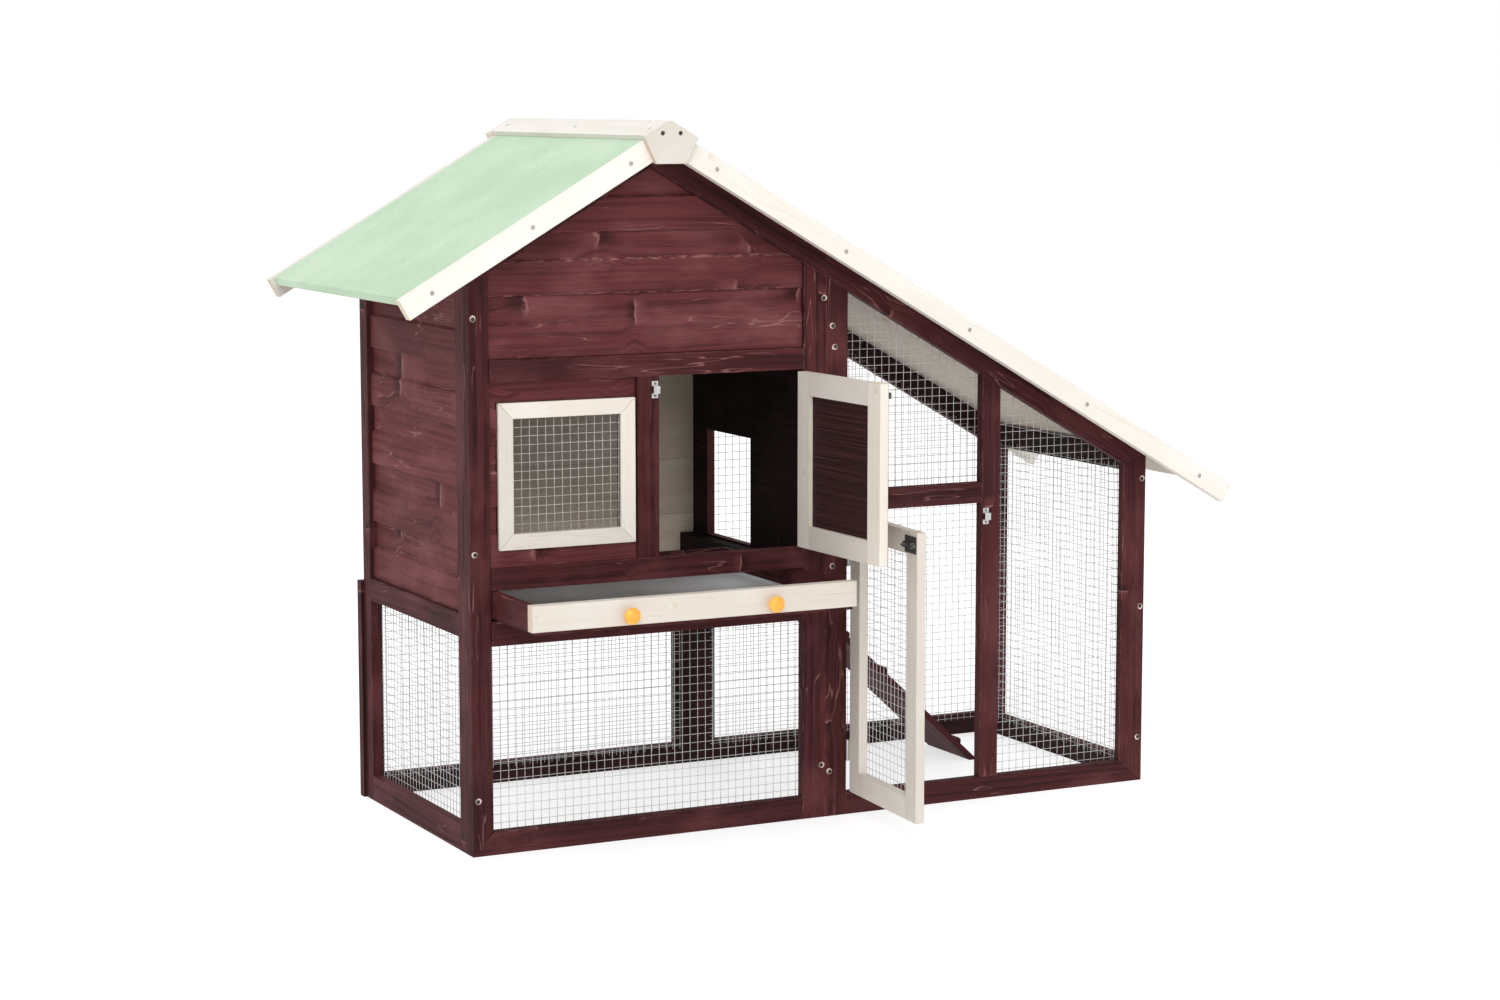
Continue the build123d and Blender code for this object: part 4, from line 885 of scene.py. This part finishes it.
def bolt_plate_spots(plate, corners):
    """One screw in each corner of a bolt's plate."""
    back = max(plate, key=lambda face: face.area)
    out = -back.normal.copy()
    depth = back.center.dot(out) + PLATE_T
    level = UP.cross(out).normalized()
    flat = [c for c in corners if abs(c.dot(out) - depth) < SAME_PLANE]
    ends = sorted(c.dot(level) for c in flat)
    heights = sorted(c.z for c in flat)
    for along in (ends[0] + PLATE_INSET, ends[-1] - PLATE_INSET):
        for z in (heights[0] + PLATE_INSET, heights[-1] - PLATE_INSET):
            yield level * along + out * depth + UP * z, out


def hinge_spots(hint):
    """Two screws in each hinge leaf whose face looks along `hint`; leaves seen edge on get none."""

    def spots(leaf, corners):
        facing = [face for face in leaf if face.normal.dot(hint) > FACING]
        if not facing:
            return
        front = max(facing, key=lambda face: face.area)
        out = front.normal.copy()
        depth = front.center.dot(out)
        level = UP.cross(out).normalized()
        flat = [c for c in corners if abs(c.dot(out) - depth) < SAME_PLANE]
        ends = sorted(c.dot(level) for c in flat)
        if ends[-1] - ends[0] < LEAST_LEAF:
            return
        low = min(c.z for c in flat)
        high = max(c.z for c in flat)
        for share in LEAF_SCREWS:
            z = low + share * (high - low)
            yield level * (ends[0] + ends[-1]) / 2 + out * depth + UP * z, out

    return spots


screws_for("frame_screws", dark_steel, torn=True)
screws_for("roof_screws", bright_zinc, torn=False)
small_screws("bolt_keepers", keeper_spots)
small_screws("house_door_bolt_case", bolt_plate_spots)
small_screws("run_door_bolt_case", bolt_plate_spots)
small_screws("frame_hinge_leaves", hinge_spots(Vector((0, -1, 0))))
small_screws("house_door_hinge_leaves", hinge_spots(Vector((1, 0, 0))))

# ---- floor, light and camera ----
FLOOR_HALF = 30
FLOOR_ALBEDO = 0.42
FLOOR_GLOW = 0.68          # lifts the floor to the white of the backdrop
WORLD_LIGHT = 0.78         # the backdrop is plain white, and lights the hutch a little less than it shows

floor_corners = [(x * FLOOR_HALF, y * FLOOR_HALF, 0) for x, y in ((-1, -1), (1, -1), (1, 1), (-1, 1))]
floor_mesh = bpy.data.meshes.new("floor")
floor_mesh.from_pydata(floor_corners, [], [(0, 1, 2, 3)])
floor = bpy.data.objects.new("floor", floor_mesh)
bpy.context.scene.collection.objects.link(floor)
ground = Shader("pale_floor")
ground.surface.inputs["Base Color"].default_value = (FLOOR_ALBEDO, FLOOR_ALBEDO, FLOOR_ALBEDO, 1)
ground.surface.inputs["Roughness"].default_value = 0.9
ground.surface.inputs["Emission Color"].default_value = (1, 1, 1, 1)
ground.surface.inputs["Emission Strength"].default_value = FLOOR_GLOW
floor_mesh.materials.append(ground.material)


def lamp(name, light, way, place=(0, 0, 0)):
    """Hangs a light at a place, looking one way."""
    made = bpy.data.objects.new(name, light)
    made.location = place
    made.rotation_euler = Vector(way).to_track_quat("-Z", "Y").to_euler()
    bpy.context.scene.collection.objects.link(made)


def softbox(name, place, size, watts):
    """A soft light, wide and tall as given, aimed at the middle of the hutch."""
    light = bpy.data.lights.new(name, "AREA")
    light.shape = "RECTANGLE"
    light.size, light.size_y = size
    light.energy = watts
    lamp(name, light, MIDDLE - Vector(place), place)


softbox("key", (-2.2, -3.6, 3.4), (2.6, 2.6), 42)
softbox("fill", (3.6, -3.0, 2.2), (2.4, 2.4), 16)
softbox("back", (0.0, 3.4, 3.2), (3.0, 2.0), 30)

sun = bpy.data.lights.new("high_window", "SUN")
sun.energy = 0.9
sun.angle = math.radians(50)
lamp("high_window", sun, (0.45, 0.75, -1.0))

world = bpy.data.worlds.new("studio")
world.use_nodes = True
backdrop = world.node_tree.nodes["Background"]
backdrop.inputs["Color"].default_value = (1, 1, 1, 1)
seen = world.node_tree.nodes.new("ShaderNodeLightPath")
strength = world.node_tree.nodes.new("ShaderNodeMapRange")
strength.inputs["To Min"].default_value = WORLD_LIGHT
strength.inputs["To Max"].default_value = 1.0
world.node_tree.links.new(seen.outputs["Is Camera Ray"], strength.inputs["Value"])
world.node_tree.links.new(strength.outputs["Result"], backdrop.inputs["Strength"])
bpy.context.scene.world = world
bpy.context.scene.view_settings.view_transform = "Standard"

lens = bpy.data.cameras.new("camera")
lens.lens = CAMERA_LENS
lens.sensor_width = 36
camera = bpy.data.objects.new("camera", lens)
camera.location = CAMERA_PLACE
camera.rotation_euler = Euler((CAMERA_PITCH, 0, CAMERA_YAW))
bpy.context.scene.collection.objects.link(camera)
bpy.context.scene.camera = camera
